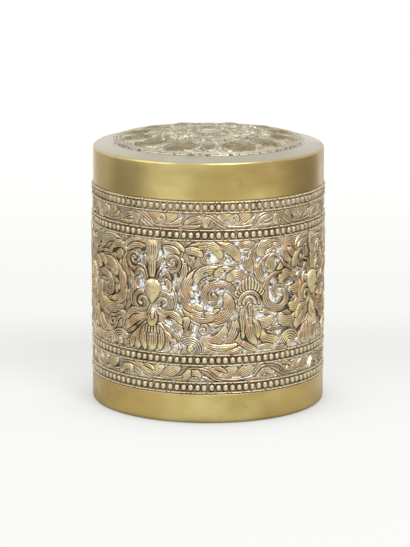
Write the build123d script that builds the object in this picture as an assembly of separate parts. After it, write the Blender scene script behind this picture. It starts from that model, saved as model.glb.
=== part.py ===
from build123d import *
import os
from math import cos, degrees, pi, radians, sin

# A round brass paan box: a plain drum dressed in a repousse sleeve, a drop-on lid that seats on the
# drum's bare collar, and a lift-out tray with four cells. Millimetres, +Z up, origin at the centre
# of the foot.

# Lid wall, which sets every other radius
LID_RADIUS = 47.5
LID_SHEET = 0.8
LID_WALL_HEIGHT = 15.1
LID_RIM_ROUND = 1.2
LID_SHOULDER_RISE = 1.8         # from the rim up to the edge of the medallion

# Body
BODY_PROUD = 0.5                # how far the sleeve and base band stand out past the lid wall
DRUM_SHEET = 0.9
COLLAR_HEIGHT = 8.0             # bare top of the drum, inside the lid
BASE_BAND_HEIGHT = 12.2
BASE_EDGE_ROUND = 1.6
FOOT_LEDGE = 4.0                # base band turned in under the bottom plate
FOOT_SHEET = 1.0
BOTTOM_SHEET = 0.8

# Repousse sleeve: two borders, each of four fillets, two bead rows and a scroll band, and the frieze
SLEEVE_SHEET = 0.6
FILLET_HEIGHT = 1.2
BEAD_ROW_HEIGHT = 2.9
SCROLL_BAND_HEIGHT = 6.0
FRIEZE_HEIGHT = 45.8

# Medallion on the lid
MEDALLION_RADIUS = 39.4
MEDALLION_SHEET = 0.7
MEDALLION_BULGE = 0.45          # how far the dome bows out over its chord
ROSETTE_RADIUS = 20.0
ROSETTE_RISE = 2.9              # dome at the foot of the central rosette
ROSETTE_STEP = 0.6
ROSETTE_CROWN = 0.3
LOBE_COUNT = 13
PETAL_RISE = 0.6
ROSETTE_PETAL_COUNT = 8
ROSETTE_BUTTON_RADIUS = 3.2

# Relief of the sleeve
BEAD_PITCH = 2.85
BEAD_GAP = 0.3
BEAD_RISE = 1.1
SCROLL_RISE = 1.2               # scrolls and leaves over the sunk ground
BOSS_RISE = 1.5
RELIEF_ROOT = 0.3               # relief starts this far inside the ground it grows from
BEAD_ROOT = 0.05
DRAWN_HEIGHT = 45.8             # height that the frieze is drawn at, fitted to FRIEZE_HEIGHT
BAND_DRAWN_HEIGHT = 6.0         # the same for the scroll bands
BAND_REPEATS = 10
BAND_BEARING = 3.6              # where the first wave of each band stands
LEAF_SHAPE = [(0, 0.75), (0.45, 1.0), (0.92, 0.55)]     # share of the length, share of the width
SCROLL_STEPS = 8                # in one turn
SCROLL_CLOSING = 0.8            # share of its radius that a scroll loses on the way to its eye
SCROLL_EASING = 1.2             # above 1 the scroll closes faster towards its eye
SCROLL_TAPER = 0.35             # share of its width that it loses
SHELL_CORE = 0.35               # inner radius of a shell as a share of its outer one
FAN_MIDDLE = 20.6
FAN_RAYS = 5
BOSS_MIDDLE = 24.9
BOSS_SIZE = (3.7, 5.1)          # half-width and half-height
BOSS_NARROWING = 0.35           # how much narrower it is at its foot
BOSS_STEPS = 12

# Tray
TRAY_SHEET = 0.7
TRAY_DEPTH = 13.0
TRAY_ROUND = 2.0
DIVIDER_SHEET = 0.8
DIVIDER_TOP_GAP = 0.8           # dividers end this far below the tray's rim
KNOB_FOOT_RADIUS = 4.0
KNOB_FOOT_HEIGHT = 1.0
KNOB_NECK_RADIUS = 1.5
KNOB_BALL_RADIUS = 2.8
KNOB_HEIGHT = 7.0

# Clearances
LID_CLEARANCE = 0.10            # lid over the collar, radial
TRAY_CLEARANCE = 0.4            # tray wall in the drum, radial
RIM_CLEARANCE = 0.4             # tray rim inside the lid wall, radial
SOLDER_GAP = 0.05               # soldered joints between pieces of one body
DIVIDER_SLOT_GAP = 0.1          # halved joint of the two dividers

# Radii and heights that follow
lid_inner = LID_RADIUS - LID_SHEET
body_radius = LID_RADIUS + BODY_PROUD
drum_outer = lid_inner - LID_CLEARANCE
drum_inner = drum_outer - DRUM_SHEET
dressing_inner = drum_outer + SOLDER_GAP
sleeve_ground = dressing_inner + SLEEVE_SHEET
border_zones = [FILLET_HEIGHT, BEAD_ROW_HEIGHT, FILLET_HEIGHT, SCROLL_BAND_HEIGHT,
                FILLET_HEIGHT, BEAD_ROW_HEIGHT, FILLET_HEIGHT]
sleeve_zones = border_zones + [FRIEZE_HEIGHT] + border_zones
sleeve_top = BASE_BAND_HEIGHT + sum(sleeve_zones)
frieze_foot = BASE_BAND_HEIGHT + sum(border_zones)
border_feet = [BASE_BAND_HEIGHT, frieze_foot + FRIEZE_HEIGHT]
drum_bottom = FOOT_SHEET + BOTTOM_SHEET
collar_top = sleeve_top + COLLAR_HEIGHT
lid_rim = sleeve_top + LID_WALL_HEIGHT
lid_top = lid_rim + LID_SHOULDER_RISE
tray_radius = drum_inner - TRAY_CLEARANCE
tray_rim_top = collar_top + TRAY_SHEET
tray_floor = tray_rim_top - TRAY_DEPTH + TRAY_SHEET
tray_inner = tray_radius - TRAY_SHEET
divider_top = tray_rim_top - DIVIDER_TOP_GAP


def turned(*corners):
    """Solid of revolution about Z from (r, z) corners; a third value rounds that corner."""
    points = [corner[:2] for corner in corners]
    radii = [corner[2] if len(corner) > 2 else 0 for corner in corners]
    outline = FilletPolyline(*points, radius=radii, close=True)
    return revolve(Plane.XZ * make_face(outline), Axis.Z)


def base_band():
    """Plain band around the foot, turned in below to carry the bottom plate."""
    foot_inner = drum_outer - FOOT_LEDGE
    return turned(
        (dressing_inner, BASE_BAND_HEIGHT),
        (body_radius, BASE_BAND_HEIGHT),
        (body_radius, 0, BASE_EDGE_ROUND),
        (foot_inner, 0),
        (foot_inner, FOOT_SHEET),
        (dressing_inner, FOOT_SHEET),
    )


def bottom_plate():
    """Disc soldered on the ledge of the base band."""
    return turned(
        (0, FOOT_SHEET),
        (drum_outer, FOOT_SHEET),
        (drum_outer, drum_bottom),
        (0, drum_bottom),
    )


def inner_drum():
    """Plain wall of the box; its bare top is the collar that the lid drops over."""
    return turned(
        (drum_inner, drum_bottom),
        (drum_outer, drum_bottom),
        (drum_outer, collar_top),
        (drum_inner, collar_top),
    )


def polygon(points):
    return make_face(Polyline(*points, close=True))


def beside(spine, stations):
    """Corners on both sides of a spine, there and back, from (share of its length, half-width)."""
    left, right = [], []
    for along, half in stations:
        middle, heading = spine @ along, spine % along
        left.append((middle.X - half * heading.Y, middle.Y + half * heading.X))
        right.append((middle.X + half * heading.Y, middle.Y - half * heading.X))
    return left + right[::-1]


def leaf(*spine, width):
    """Corners of a leaf with a broad root and a blunt tip, along a Bezier spine."""
    return beside(Bezier(*spine), [(along, width / 2 * share) for along, share in LEAF_SHAPE])


def stem(*places, width, end, steps):
    """Corners of a stem along a smooth curve through the places, tapered from width to end."""
    stations = [(step / steps, (width + (end - width) * step / steps) / 2) for step in range(steps + 1)]
    return beside(Spline(*places), stations)


def scroll(centre, radius, start, turns, width, closing=SCROLL_CLOSING):
    """Corners of a stem that winds in to its eye; negative turns wind it the other way."""
    steps = round(SCROLL_STEPS * abs(turns))
    outer, inner = [], []
    for step in range(steps + 1):
        along = step / steps
        angle = radians(start + 360 * turns * along)
        reach = radius * (1 - closing * along ** SCROLL_EASING)
        half = width / 2 * (1 - SCROLL_TAPER * along)
        outer.append((centre[0] + (reach + half) * cos(angle), centre[1] + (reach + half) * sin(angle)))
        inner.append((centre[0] + (reach - half) * cos(angle), centre[1] + (reach - half) * sin(angle)))
    return outer + inner[::-1]


def shell(centre, radius, start, turns):
    """Corners of a ribbed shell's outline."""
    middle = radius * (1 + SHELL_CORE) / 2
    return scroll(centre, middle, start, turns, radius * (1 - SHELL_CORE), closing=0)


def scroll_group():
    """A large scroll with its lobes, the arch of leaves over it and the leaves at its foot."""
    return [
        stem((-14.5, 33.5), (-11, 40.7), (-3, 45.1), (6.5, 43.9), (11.2, 38.5),
             width=1.9, end=1.2, steps=7),
        stem((12.5, 32.6), (2.5, 36.5), (-6.5, 34.5), (-11.3, 27.2), (-11.1, 19.2), (-5.5, 13.2), (3, 13.2),
             (8.5, 20.2), (7.5, 27.5), (1, 29.5), (-3.4, 25.2), (-1.5, 20.8), (1.8, 22.5),
             width=2.7, end=2.0, steps=20),
        leaf((-12.6, 38.4), (-10.4, 41.6), (-8.6, 39.0), (-7.4, 35.4), width=3.6),
        leaf((-11.6, 40.0), (-8.2, 43.6), (-4.2, 43.6), (-3.2, 39.4), width=4.4),
        leaf((-5.5, 44.8), (0.6, 45.6), (3.8, 43.4), (2.4, 38.2), width=5.6),
        leaf((2.0, 44.9), (8.6, 44.4), (11.0, 41.6), (9.4, 37.0), width=5.0),
        leaf((10.0, 43.2), (12.6, 45.4), (15.4, 45.2), (18.0, 42.4), width=3.0),
        leaf((-3.6, 36.2), (-6.6, 34.2), (-7.2, 30.4), (-4.6, 27.6), width=5.0),
        leaf((6.4, 35.8), (2.8, 36.2), (0.4, 34.0), (1.4, 30.9), width=4.6),
        leaf((12.4, 32.8), (9.8, 34.2), (6.8, 33.0), (5.4, 29.9), width=4.8),
        leaf((-11.3, 28.6), (-10.8, 25.6), (-9.0, 23.6), (-5.7, 24.5), width=4.8),
        leaf((-11.8, 23.4), (-10.8, 18.6), (-7.8, 16.2), (-2.4, 18.6), width=5.2),
        leaf((-6.4, 13.9), (-1.8, 12.2), (3.0, 14.2), (1.8, 19.9), width=5.4),
        leaf((2.6, 13.2), (8.4, 15.8), (9.0, 22.6), (4.2, 25.8), width=5.6),
        leaf((-11.2, 8.6), (-11.4, 11.2), (-10.4, 13.2), (-8.7, 14.8), width=4.4),
        leaf((-4.0, 5.4), (0.6, 4.6), (5.4, 7.0), (4.9, 12.0), width=4.6),
        leaf((4.0, 4.6), (8.6, 6.6), (10.2, 10.2), (8.6, 15.2), width=4.4),
        leaf((-3.0, 4.4), (1.0, 0.6), (6.0, 0.8), (11.0, 4.2), width=3.2),
        shell((-8.2, 1.6), 5.4, -5, 0.42),
    ]


def counter_group():
    """The scroll that answers the first: two arches of leaves over it and a shell at either end."""
    return [
        stem((-18.6, 33.6), (-14.8, 42.7), (-6.3, 45.2), (0.2, 41.8), width=1.9, end=1.2, steps=7),
        stem((-12.9, 29.4), (-10.3, 37.7), (-3.3, 39.2), (-0.8, 36.7), width=1.7, end=1.1, steps=6),
        stem((-12.8, 12.8), (-3.3, 9.2), (6.2, 12.2), (10.7, 21.2), (6.2, 30), (-2.8, 31.6), (-8, 25.2),
             (-5.3, 18.4), (1.2, 18.7), (1.2, 24.3), width=2.7, end=1.7, steps=16),
        leaf((-17.6, 41.2), (-17.4, 38.6), (-16.4, 36.4), (-14.9, 33.6), width=4.4),
        leaf((-4.0, 44.2), (-8.5, 45.2), (-12.4, 42.6), (-10.8, 37.8), width=5.6),
        leaf((-5.6, 44.6), (-1.4, 44.6), (-0.2, 41.6), (-2.6, 39.8), width=3.4),
        leaf((-11.4, 37.0), (-12.4, 34.0), (-11.6, 31.4), (-9.8, 29.4), width=4.2),
        leaf((-2.8, 39.2), (-6.2, 38.4), (-7.6, 34.8), (-4.6, 31.2), width=5.0),
        leaf((-2.4, 31.6), (-7.0, 30.2), (-7.6, 25.6), (-4.6, 22.0), width=5.0),
        leaf((7.4, 29.2), (3.6, 31.6), (-1.0, 31.0), (-1.2, 27.2), width=4.8),
        leaf((10.0, 24.8), (8.0, 27.8), (5.0, 26.6), (3.6, 22.8), width=4.8),
        leaf((10.7, 17.4), (8.8, 21.6), (4.2, 21.0), (2.8, 16.4), width=5.4),
        leaf((6.8, 12.4), (4.0, 16.0), (0.6, 17.0), (-2.0, 14.2), width=5.0),
        leaf((-12.8, 12.2), (-9.4, 11.4), (-5.6, 11.8), (-3.0, 15.6), width=5.2),
        leaf((0.0, 35.6), (4.4, 34.2), (9.2, 32.8), (13.2, 30.4), width=3.6),
        leaf((-11.6, 4.6), (-12.8, 6.6), (-14.2, 8.6), (-14.4, 11.6), width=3.8),
        leaf((-10.8, 5.6), (-7.6, 4.0), (-3.8, 5.0), (-1.6, 8.6), width=4.6),
        leaf((9.0, 8.0), (11.6, 10.2), (12.6, 13.0), (11.2, 16.2), width=3.2),
        shell((5.4, 40.6), 5.6, 130, 0.64),
        shell((3.8, 1.4), 6.1, 8, 0.43),
    ]


def fan_group():
    """A fan of rays over two arches, on a stem between leaves."""
    rays = []
    for step in range(FAN_RAYS):
        angle = radians(30 + 120 * step / (FAN_RAYS - 1))
        across, up = cos(angle), sin(angle)
        rays.append(leaf((4.6 * across, FAN_MIDDLE + 4.8 * up), (6.8 * across, FAN_MIDDLE + 7.6 * up),
                         (6.0 * across, FAN_MIDDLE + 10.6 * up), width=2.2))
    middle = (0, FAN_MIDDLE)
    arches = [scroll(middle, 4.3, -4, 0.52, 1.6, closing=0), scroll(middle, 2.2, 0, 0.5, 1.5, closing=0)]
    return rays + arches + [
        leaf((2.6, 20.6), (5.4, 20.6), (6.0, 17.4), (2.8, 16.8), width=2.6),
        leaf((-2.6, 20.6), (-5.4, 20.6), (-6.0, 17.4), (-2.8, 16.8), width=2.6),
        leaf((0.2, 20.8), (0.3, 16.5), (0.6, 12.6), width=1.9),
        leaf((-3.0, 20.0), (-4.2, 15.0), (-3.0, 11.0), (-2.4, 6.6), width=3.0),
        leaf((1.8, 13.6), (-0.4, 10.0), (1.4, 6.2), (3.6, 3.4), width=4.8),
        leaf((-4.6, 5.8), (-2.0, 3.4), (0.2, 2.2), (3.6, 0.8), width=2.8),
    ]


def boss_group():
    """Volutes, ears, buds and a tassel round the smooth boss, which is a stamp of its own."""
    half = [
        leaf((2.6, 43.6), (6.0, 45.2), (11.0, 44.4), (13.4, 41.2), width=4.6),
        leaf((12.8, 30.6), (14.6, 34.0), (14.0, 37.4), (10.8, 39.2), width=3.2),
        scroll((8.7, 37.0), 4.1, -120, 1.35, 1.8),
        stem((1.7, 28.6), (2.8, 32.0), (4.6, 34.6), (7.0, 34.3), width=1.7, end=1.2, steps=4),
        leaf((2.8, 29.2), (4.0, 34.2), (9.0, 35.0), (8.6, 28.0), width=2.4),
        scroll((5.1, 26.8), 3.3, 70, -0.9, 1.5, closing=0.5),
        leaf((7.4, 27.4), (9.8, 25.6), (10.4, 22.0), (8.8, 17.6), width=3.0),
        scroll((4.9, 19.9), 4.6, 120, -1.45, 2.0),
        stem((2.4, 13.8), (6.0, 10.4), (9.6, 6.4), (13.6, 2.4), width=2.0, end=1.4, steps=4),
        leaf((4.2, 14.2), (7.8, 15.0), (11.4, 13.2), (12.8, 8.0), width=5.4),
        leaf((3.6, 7.4), (6.6, 8.0), (8.2, 4.2), (6.2, 0.8), width=4.4),
        leaf((1.4, 10.0), (4.4, 9.2), (5.0, 4.6), (2.8, 0.8), width=3.4),
    ]
    middle = [
        leaf((0, 45.4), (0, 42.8), (0, 40.0), (0, 36.8), width=5.2),
        leaf((0, 38.6), (0, 33.2), (0, 29.8), width=3.6),
        leaf((0, 18.0), (0, 15.0), (0, 10.2), width=4.4),
        leaf((0, 10.6), (0, 4.0), (0, 0.6), width=5.4),
    ]
    return half + [[(-x, y) for x, y in corners] for corners in half] + middle


def boss():
    """Corners of the heart-shaped boss, pointed at its foot."""
    wide, high = BOSS_SIZE
    corners = []
    for step in range(BOSS_STEPS):
        angle = 2 * pi * step / BOSS_STEPS
        narrowing = 1 - BOSS_NARROWING * max(0, -cos(angle))
        corners.append((wide * sin(angle) * narrowing, BOSS_MIDDLE + high * cos(angle)))
    return corners


def raised(points, bearing):
    """Block that stands out of the wall at a bearing, under corners given as (along the wall, z)."""
    middle = sum(x for x, _ in points) / len(points)
    face = polygon([(x - middle, z) for x, z in points])
    block = extrude(Plane.YZ.offset(sleeve_ground / 2) * face, sleeve_ground)
    return Rot(0, 0, bearing - 90 + degrees(middle / (sleeve_ground + SCROLL_RISE))) * block


def in_frieze(points, side=1, width=1.0):
    """Corners drawn on the frieze, mirrored by side, as (along the wall, z)."""
    fit = FRIEZE_HEIGHT / DRAWN_HEIGHT
    return [(side * width * x, frieze_foot + y * fit) for x, y in points]


def ring(inner, outer, low, high):
    return turned((inner, low), (outer, low), (outer, high), (inner, high))


def wall_relief():
    """The frieze: half of it is drawn once, and the other half is the same turned by 180 degrees."""
    low, high = frieze_foot, frieze_foot + FRIEZE_HEIGHT
    layout = [
        (-77.0, fan_group, 1, 1.0),
        (-58.3, scroll_group, -1, 1.0),
        (-28.0, boss_group, 1, 1.0),
        (1.8, scroll_group, 1, 1.0),
        (20.9, fan_group, 1, 1.0),
        (38.4, counter_group, 1, 1.0),
        (61.8, boss_group, 1, 0.93),
        (84.1, counter_group, -1, 0.9),
    ]
    blocks = []
    bosses = []
    for bearing, group, side, width in layout:
        blocks += [raised(in_frieze(points, side, width), bearing) for points in group()]
        if group is boss_group:
            bosses.append(raised(in_frieze(boss()), bearing))
    root = sleeve_ground - RELIEF_ROOT
    leaves = (Part() + blocks) & ring(root, sleeve_ground + SCROLL_RISE, low, high)
    crowns = (Part() + bosses) & ring(root, sleeve_ground + BOSS_RISE, low, high)
    half = (leaves + crowns).solids()
    return half + [Rot(0, 0, 180) * stamp for stamp in half]


def bead_rows():
    """Beads of each row, four-sided so that the pattern stays light."""
    count = round(2 * pi * sleeve_ground / BEAD_PITCH)
    width = 2 * pi * sleeve_ground / count - BEAD_GAP
    foot = Plane.YZ.offset(sleeve_ground - BEAD_ROOT) * Rectangle(width, BEAD_ROW_HEIGHT - BEAD_GAP)
    bead = loft([foot.face(), Vertex(sleeve_ground + BEAD_RISE, 0, 0)])
    first = FILLET_HEIGHT + BEAD_ROW_HEIGHT / 2
    second = sum(border_zones) - first
    heights = [border + row for border in border_feet for row in (first, second)]
    return [Pos(0, 0, z) * turn * bead for z in heights for turn in PolarLocations(0, count)]


def lower_wave():
    """One repeat of the lower scroll band."""
    return [
        leaf((-5.6, 5.4), (-2.0, 5.6), (0.8, 2.4), (5.4, 0.8), width=3.8),
        leaf((3.8, 1.4), (5.4, 3.0), (7.6, 4.2), (10.8, 4.6), width=3.6),
        leaf((10.4, 1.2), (11.4, 3.0), (14.2, 4.2), (17.4, 5.2), width=3.8),
        leaf((-9.6, 1.2), (-8.8, 4.0), (-6.0, 4.4), (-4.6, 1.4), width=3.0),
    ]


def upper_wave():
    """One repeat of the upper scroll band."""
    return [
        leaf((-5.4, 4.4), (-7.4, 5.2), (-12.6, 4.2), (-12.2, 1.4), width=3.6),
        leaf((-3.4, 5.0), (0.2, 4.6), (2.0, 1.6), (4.6, 0.8), width=3.2),
        leaf((1.4, 3.0), (2.8, 5.4), (6.6, 5.6), (6.8, 2.2), width=3.4),
        leaf((8.2, 1.4), (9.4, 3.0), (11.6, 4.2), (14.6, 5.2), width=4.4),
    ]


def band_relief():
    """Scroll bands: a wave of leaves, repeated round each border."""
    fit = SCROLL_BAND_HEIGHT / BAND_DRAWN_HEIGHT
    below = 2 * FILLET_HEIGHT + BEAD_ROW_HEIGHT
    root = sleeve_ground - RELIEF_ROOT
    relief = []
    for border, wave in zip(border_feet, [lower_wave(), upper_wave()]):
        foot = border + below
        blocks = []
        for repeat in range(BAND_REPEATS):
            bearing = BAND_BEARING + 360 * repeat / BAND_REPEATS
            blocks += [raised([(x, foot + y * fit) for x, y in corners], bearing) for corners in wave]
        relief += ((Part() + blocks) & ring(root, body_radius, foot, foot + SCROLL_BAND_HEIGHT)).solids()
    return relief


def repousse_sleeve():
    """Embossed sheet around the drum: proud fillets with sunk rows and bands between them."""
    corners = [(dressing_inner, sleeve_top), (dressing_inner, BASE_BAND_HEIGHT)]
    z = BASE_BAND_HEIGHT
    for index, height in enumerate(sleeve_zones):
        radius = sleeve_ground if index % 2 else body_radius
        corners += [(radius, z), (radius, z + height)]
        z += height
    dressed = turned(*corners) + bead_rows() + wall_relief() + band_relief()
    return dressed.solids().sort_by(SortBy.VOLUME)[-1]      # without the fuse's stray faces


def lid_cap():
    """Plain lid wall and its closed, slightly rising top."""
    return turned(
        (lid_inner, sleeve_top),
        (LID_RADIUS, sleeve_top),
        (LID_RADIUS, lid_rim, LID_RIM_ROUND),
        (MEDALLION_RADIUS, lid_top),
        (0, lid_top),
        (0, lid_top - LID_SHEET),
        (MEDALLION_RADIUS, lid_top - LID_SHEET),
        (lid_inner, lid_rim - LID_SHEET),
    )


def crown(inset, lift):
    """Line of the medallion's surface from its edge to the axis, moved in by inset and up by lift."""
    foot = (MEDALLION_RADIUS - inset, lid_top + MEDALLION_SHEET + lift)
    top = (ROSETTE_RADIUS - inset, lid_top + ROSETTE_RISE + lift)
    bowed = ((foot[0] + top[0]) / 2, (foot[1] + top[1]) / 2 + MEDALLION_BULGE)
    step = (top[0] - ROSETTE_STEP, top[1] + ROSETTE_STEP)
    return [ThreePointArc(foot, bowed, top), Polyline(top, step, (0, step[1] + ROSETTE_CROWN))]


def medallion_relief():
    """Lobes round the dome, petals in its rosette, and the button in the middle."""
    lobe = leaf((35.4, 0.4), (28.0, 0.8), (24.0, -0.6), (20.6, 0), width=10.0)
    narrow_lobe = leaf((20.6, 6.4), (25.0, 6.9), (30.0, 7.6), (35.4, 8.0), width=3.2)
    rosette_petal = leaf((4.4, 0), (13.0, 1.6), (17.6, 0), width=6.2)
    blocks = [extrude(Circle(ROSETTE_BUTTON_RADIUS), lid_top)]
    for turn in PolarLocations(0, LOBE_COUNT, start_angle=-90):
        blocks += [turn * extrude(polygon(lobe), lid_top)]
        blocks += [turn * extrude(polygon(narrow_lobe), lid_top)]
    for turn in PolarLocations(0, ROSETTE_PETAL_COUNT):
        blocks += [turn * extrude(polygon(rosette_petal), lid_top)]
    high = crown(0, PETAL_RISE)
    low = crown(0, -MEDALLION_SHEET / 2)
    ends = [Line(high[0] @ 0, low[0] @ 0), Line(high[1] @ 1, low[1] @ 1)]
    layer = revolve(Plane.XZ * make_face(high + low + ends), Axis.Z)
    return [(Pos(0, 0, lid_top / 2) * block) & layer for block in blocks]


def lid_medallion():
    """Domed repousse plate on the lid, hollow behind, with a raised rosette in the middle."""
    outer = crown(0, 0)
    inner = crown(MEDALLION_SHEET, -MEDALLION_SHEET)
    seat = Polyline(inner[0] @ 0, (MEDALLION_RADIUS, lid_top), outer[0] @ 0)
    axis_line = Line(outer[1] @ 1, inner[1] @ 1)
    plate = revolve(Plane.XZ * make_face(outer + inner + [seat, axis_line]), Axis.Z)
    return plate + medallion_relief()


def tray_pan():
    """Shallow pan that hangs in the drum by its rim."""
    rim_radius = lid_inner - RIM_CLEARANCE
    return turned(
        (0, tray_floor - TRAY_SHEET),
        (tray_radius, tray_floor - TRAY_SHEET, TRAY_ROUND),
        (tray_radius, collar_top),
        (rim_radius, collar_top),
        (rim_radius, tray_rim_top),
        (tray_inner, tray_rim_top),
        (tray_inner, tray_floor, TRAY_ROUND - TRAY_SHEET),
        (0, tray_floor),
    )


def divider(slot_from, slot_to):
    """Upright strip across the tray, with a slot at its middle for the halved joint."""
    height = divider_top - tray_floor
    length = 2 * (tray_inner - SOLDER_GAP)
    corner = TRAY_ROUND - TRAY_SHEET
    outline = Polyline(
        (-length / 2 + corner, tray_floor),
        (length / 2 - corner, tray_floor),
        (length / 2, tray_floor + corner),
        (length / 2, divider_top),
        (-length / 2, divider_top),
        (-length / 2, tray_floor + corner),
        close=True,
    )
    strip = extrude(Plane.XZ * make_face(outline), DIVIDER_SHEET / 2, both=True)
    slot_width = DIVIDER_SHEET + 2 * DIVIDER_SLOT_GAP
    slot_height = (slot_to - slot_from) * height
    slot_middle = tray_floor + (slot_from + slot_to) / 2 * height
    return strip - Pos(0, 0, slot_middle) * Box(slot_width, 2 * DIVIDER_SHEET, slot_height)


def tray_divider_long():
    return divider(0.5, 1.0)


def tray_divider_cross():
    return Rot(0, 0, 90) * divider(0.0, 0.5)


def tray_knob():
    """Turned finger knob soldered on the crossing of the dividers."""
    foot_top = divider_top + KNOB_FOOT_HEIGHT
    ball_middle = divider_top + KNOB_HEIGHT - KNOB_BALL_RADIUS
    foot = turned(
        (0, divider_top),
        (KNOB_FOOT_RADIUS, divider_top),
        (KNOB_NECK_RADIUS, foot_top),
        (KNOB_NECK_RADIUS, ball_middle),
        (0, ball_middle),
    )
    return foot + Pos(0, 0, ball_middle) * Sphere(KNOB_BALL_RADIUS)


pieces = [base_band, bottom_plate, inner_drum, repousse_sleeve, lid_cap, lid_medallion,
          tray_pan, tray_divider_long, tray_divider_cross, tray_knob]
os.makedirs("parts", exist_ok=True)
for piece in pieces:
    export_step(piece(), f"parts/{piece.__name__}.step")
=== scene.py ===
import functools
import math
import random

import bmesh
import bpy
import numpy as np
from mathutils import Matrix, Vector

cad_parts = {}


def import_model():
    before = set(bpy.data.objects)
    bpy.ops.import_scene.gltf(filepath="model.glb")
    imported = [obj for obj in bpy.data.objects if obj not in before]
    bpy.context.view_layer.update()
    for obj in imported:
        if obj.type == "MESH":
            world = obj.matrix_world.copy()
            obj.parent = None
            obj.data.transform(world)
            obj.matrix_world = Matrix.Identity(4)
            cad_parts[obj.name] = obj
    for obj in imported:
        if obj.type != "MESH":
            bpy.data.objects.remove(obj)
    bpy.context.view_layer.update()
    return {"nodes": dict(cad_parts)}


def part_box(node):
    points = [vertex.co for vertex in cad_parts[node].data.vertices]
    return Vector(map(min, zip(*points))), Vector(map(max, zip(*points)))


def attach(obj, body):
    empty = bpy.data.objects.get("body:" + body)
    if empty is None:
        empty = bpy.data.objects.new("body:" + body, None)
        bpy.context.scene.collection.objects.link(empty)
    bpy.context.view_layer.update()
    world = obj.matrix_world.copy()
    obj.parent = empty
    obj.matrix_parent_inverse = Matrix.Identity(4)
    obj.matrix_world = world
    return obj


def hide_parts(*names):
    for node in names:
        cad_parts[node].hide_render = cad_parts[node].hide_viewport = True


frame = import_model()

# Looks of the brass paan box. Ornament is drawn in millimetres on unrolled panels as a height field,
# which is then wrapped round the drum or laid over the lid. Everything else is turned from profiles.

MM = 0.001


# ---- sizes, in millimetres

def round_node(node):
    """Radius, foot and top of a round CAD node."""
    low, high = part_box(node)
    return high[0] / MM, low[2] / MM, high[2] / MM


SLEEVE_FOOT, SLEEVE_TOP = round_node("repousse_sleeve")[1:]
BODY_RADIUS = round_node("base_band")[0]
LID_RADIUS = round_node("lid_cap")[0]
PLATE_RADIUS, LID_TOP = round_node("lid_medallion")[:2]
DRUM_RADIUS, DRUM_FOOT, DRUM_TOP = round_node("inner_drum")
TRAY_RADIUS, TRAY_FOOT, TRAY_TOP = round_node("tray_pan")
KNOB_RADIUS, KNOB_FOOT, KNOB_TOP = round_node("tray_knob")

SLEEVE_BACK = DRUM_RADIUS + 0.05        # inner face of the sleeve
GROUND_RADIUS = BODY_RADIUS - 0.7       # sunk ground of the relief
DRAWN_RADIUS = 48.2                     # radius at which the ornament is drawn
AROUND = 2 * math.pi * DRAWN_RADIUS
FILLET = 1.2
BEAD_ROW = 2.9
SCROLL_BAND = 6.0
BORDER = 4 * FILLET + 2 * BEAD_ROW + SCROLL_BAND
FRIEZE = SLEEVE_TOP - SLEEVE_FOOT - 2 * BORDER
MOTIF_HEIGHT = 45.8                     # of the frieze's motifs, as they are drawn
WAVES = 10                              # repeats of each scroll band
BEADS = 106                             # in each row
BEAD_TONE = 2.0                         # tints over 1 mark a bead, a fillet and a stem
FILLET_TONE = 1.5
STEM_TONE = 1.3
SLEEVE_SECTORS = 12
BACK_POINTS = 13                        # across the back of each sector
SLEEVE_STEP = 0.15                      # spacing of the relief's grid
PLATE_STEP = 0.2
PLATE_SPOKES = 600
PLATE_RINGS = 156
LATHE_STEPS = 384
INNER_STEPS = 256
KNOB_STEPS = 96
SHARP = math.radians(40)                # a turned edge over this stays sharp


# ---- drawing tools

def smooth(low, high, value):
    """0 below low, 1 above high, and an eased ramp between them."""
    t = np.clip((value - low) / (high - low), 0, 1)
    return t * t * (3 - 2 * t)


def bezier(*points, steps=28):
    """Points along a Bezier curve of any degree."""
    t = np.linspace(0, 1, steps)[:, None]
    last = len(points) - 1
    return sum(math.comb(last, k) * t**k * (1 - t) ** (last - k) * np.array(p, float)
               for k, p in enumerate(points))


def through(points):
    """A smooth curve through the points."""
    p = np.vstack([2 * points[0] - points[1], points, 2 * points[-1] - points[-2]])
    t = np.linspace(0, 1, 10, endpoint=False)[:, None]
    curve = []
    for a, b, c, d in zip(p, p[1:], p[2:], p[3:]):
        bend = 2 * a - 5 * b + 4 * c - d + t * (3 * (b - c) + d - a)
        curve.append(b + t / 2 * (c - a + t * bend))
    return np.vstack(curve + [p[-2:-1]])


def blur(field, reach):
    """Gaussian blur of a panel whose columns wrap round."""
    half = math.ceil(3 * reach)
    weights = np.exp(-0.5 * (np.arange(-half, half + 1) / reach) ** 2)
    weights /= weights.sum()
    field = sum(w * np.roll(field, k - half, 1) for k, w in enumerate(weights))
    padded = np.pad(field, ((half, half), (0, 0)), mode="edge")
    return sum(w * padded[k:k + field.shape[0]] for k, w in enumerate(weights))


def leaf_widths(width, steps, base, peak, tip):
    """Half-widths of a leaf: base is its share at the root, peak where it is widest, a high tip points it."""
    t = np.linspace(0, 1, steps)
    grow = base + (1 - base) * smooth(0, peak, t)
    past = np.clip(t - peak, 0, 1) / (1 - peak)
    return width / 2 * grow * np.sqrt(np.clip(1 - past**2, 0, 1)) ** (2 * tip - 0.8)


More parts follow.
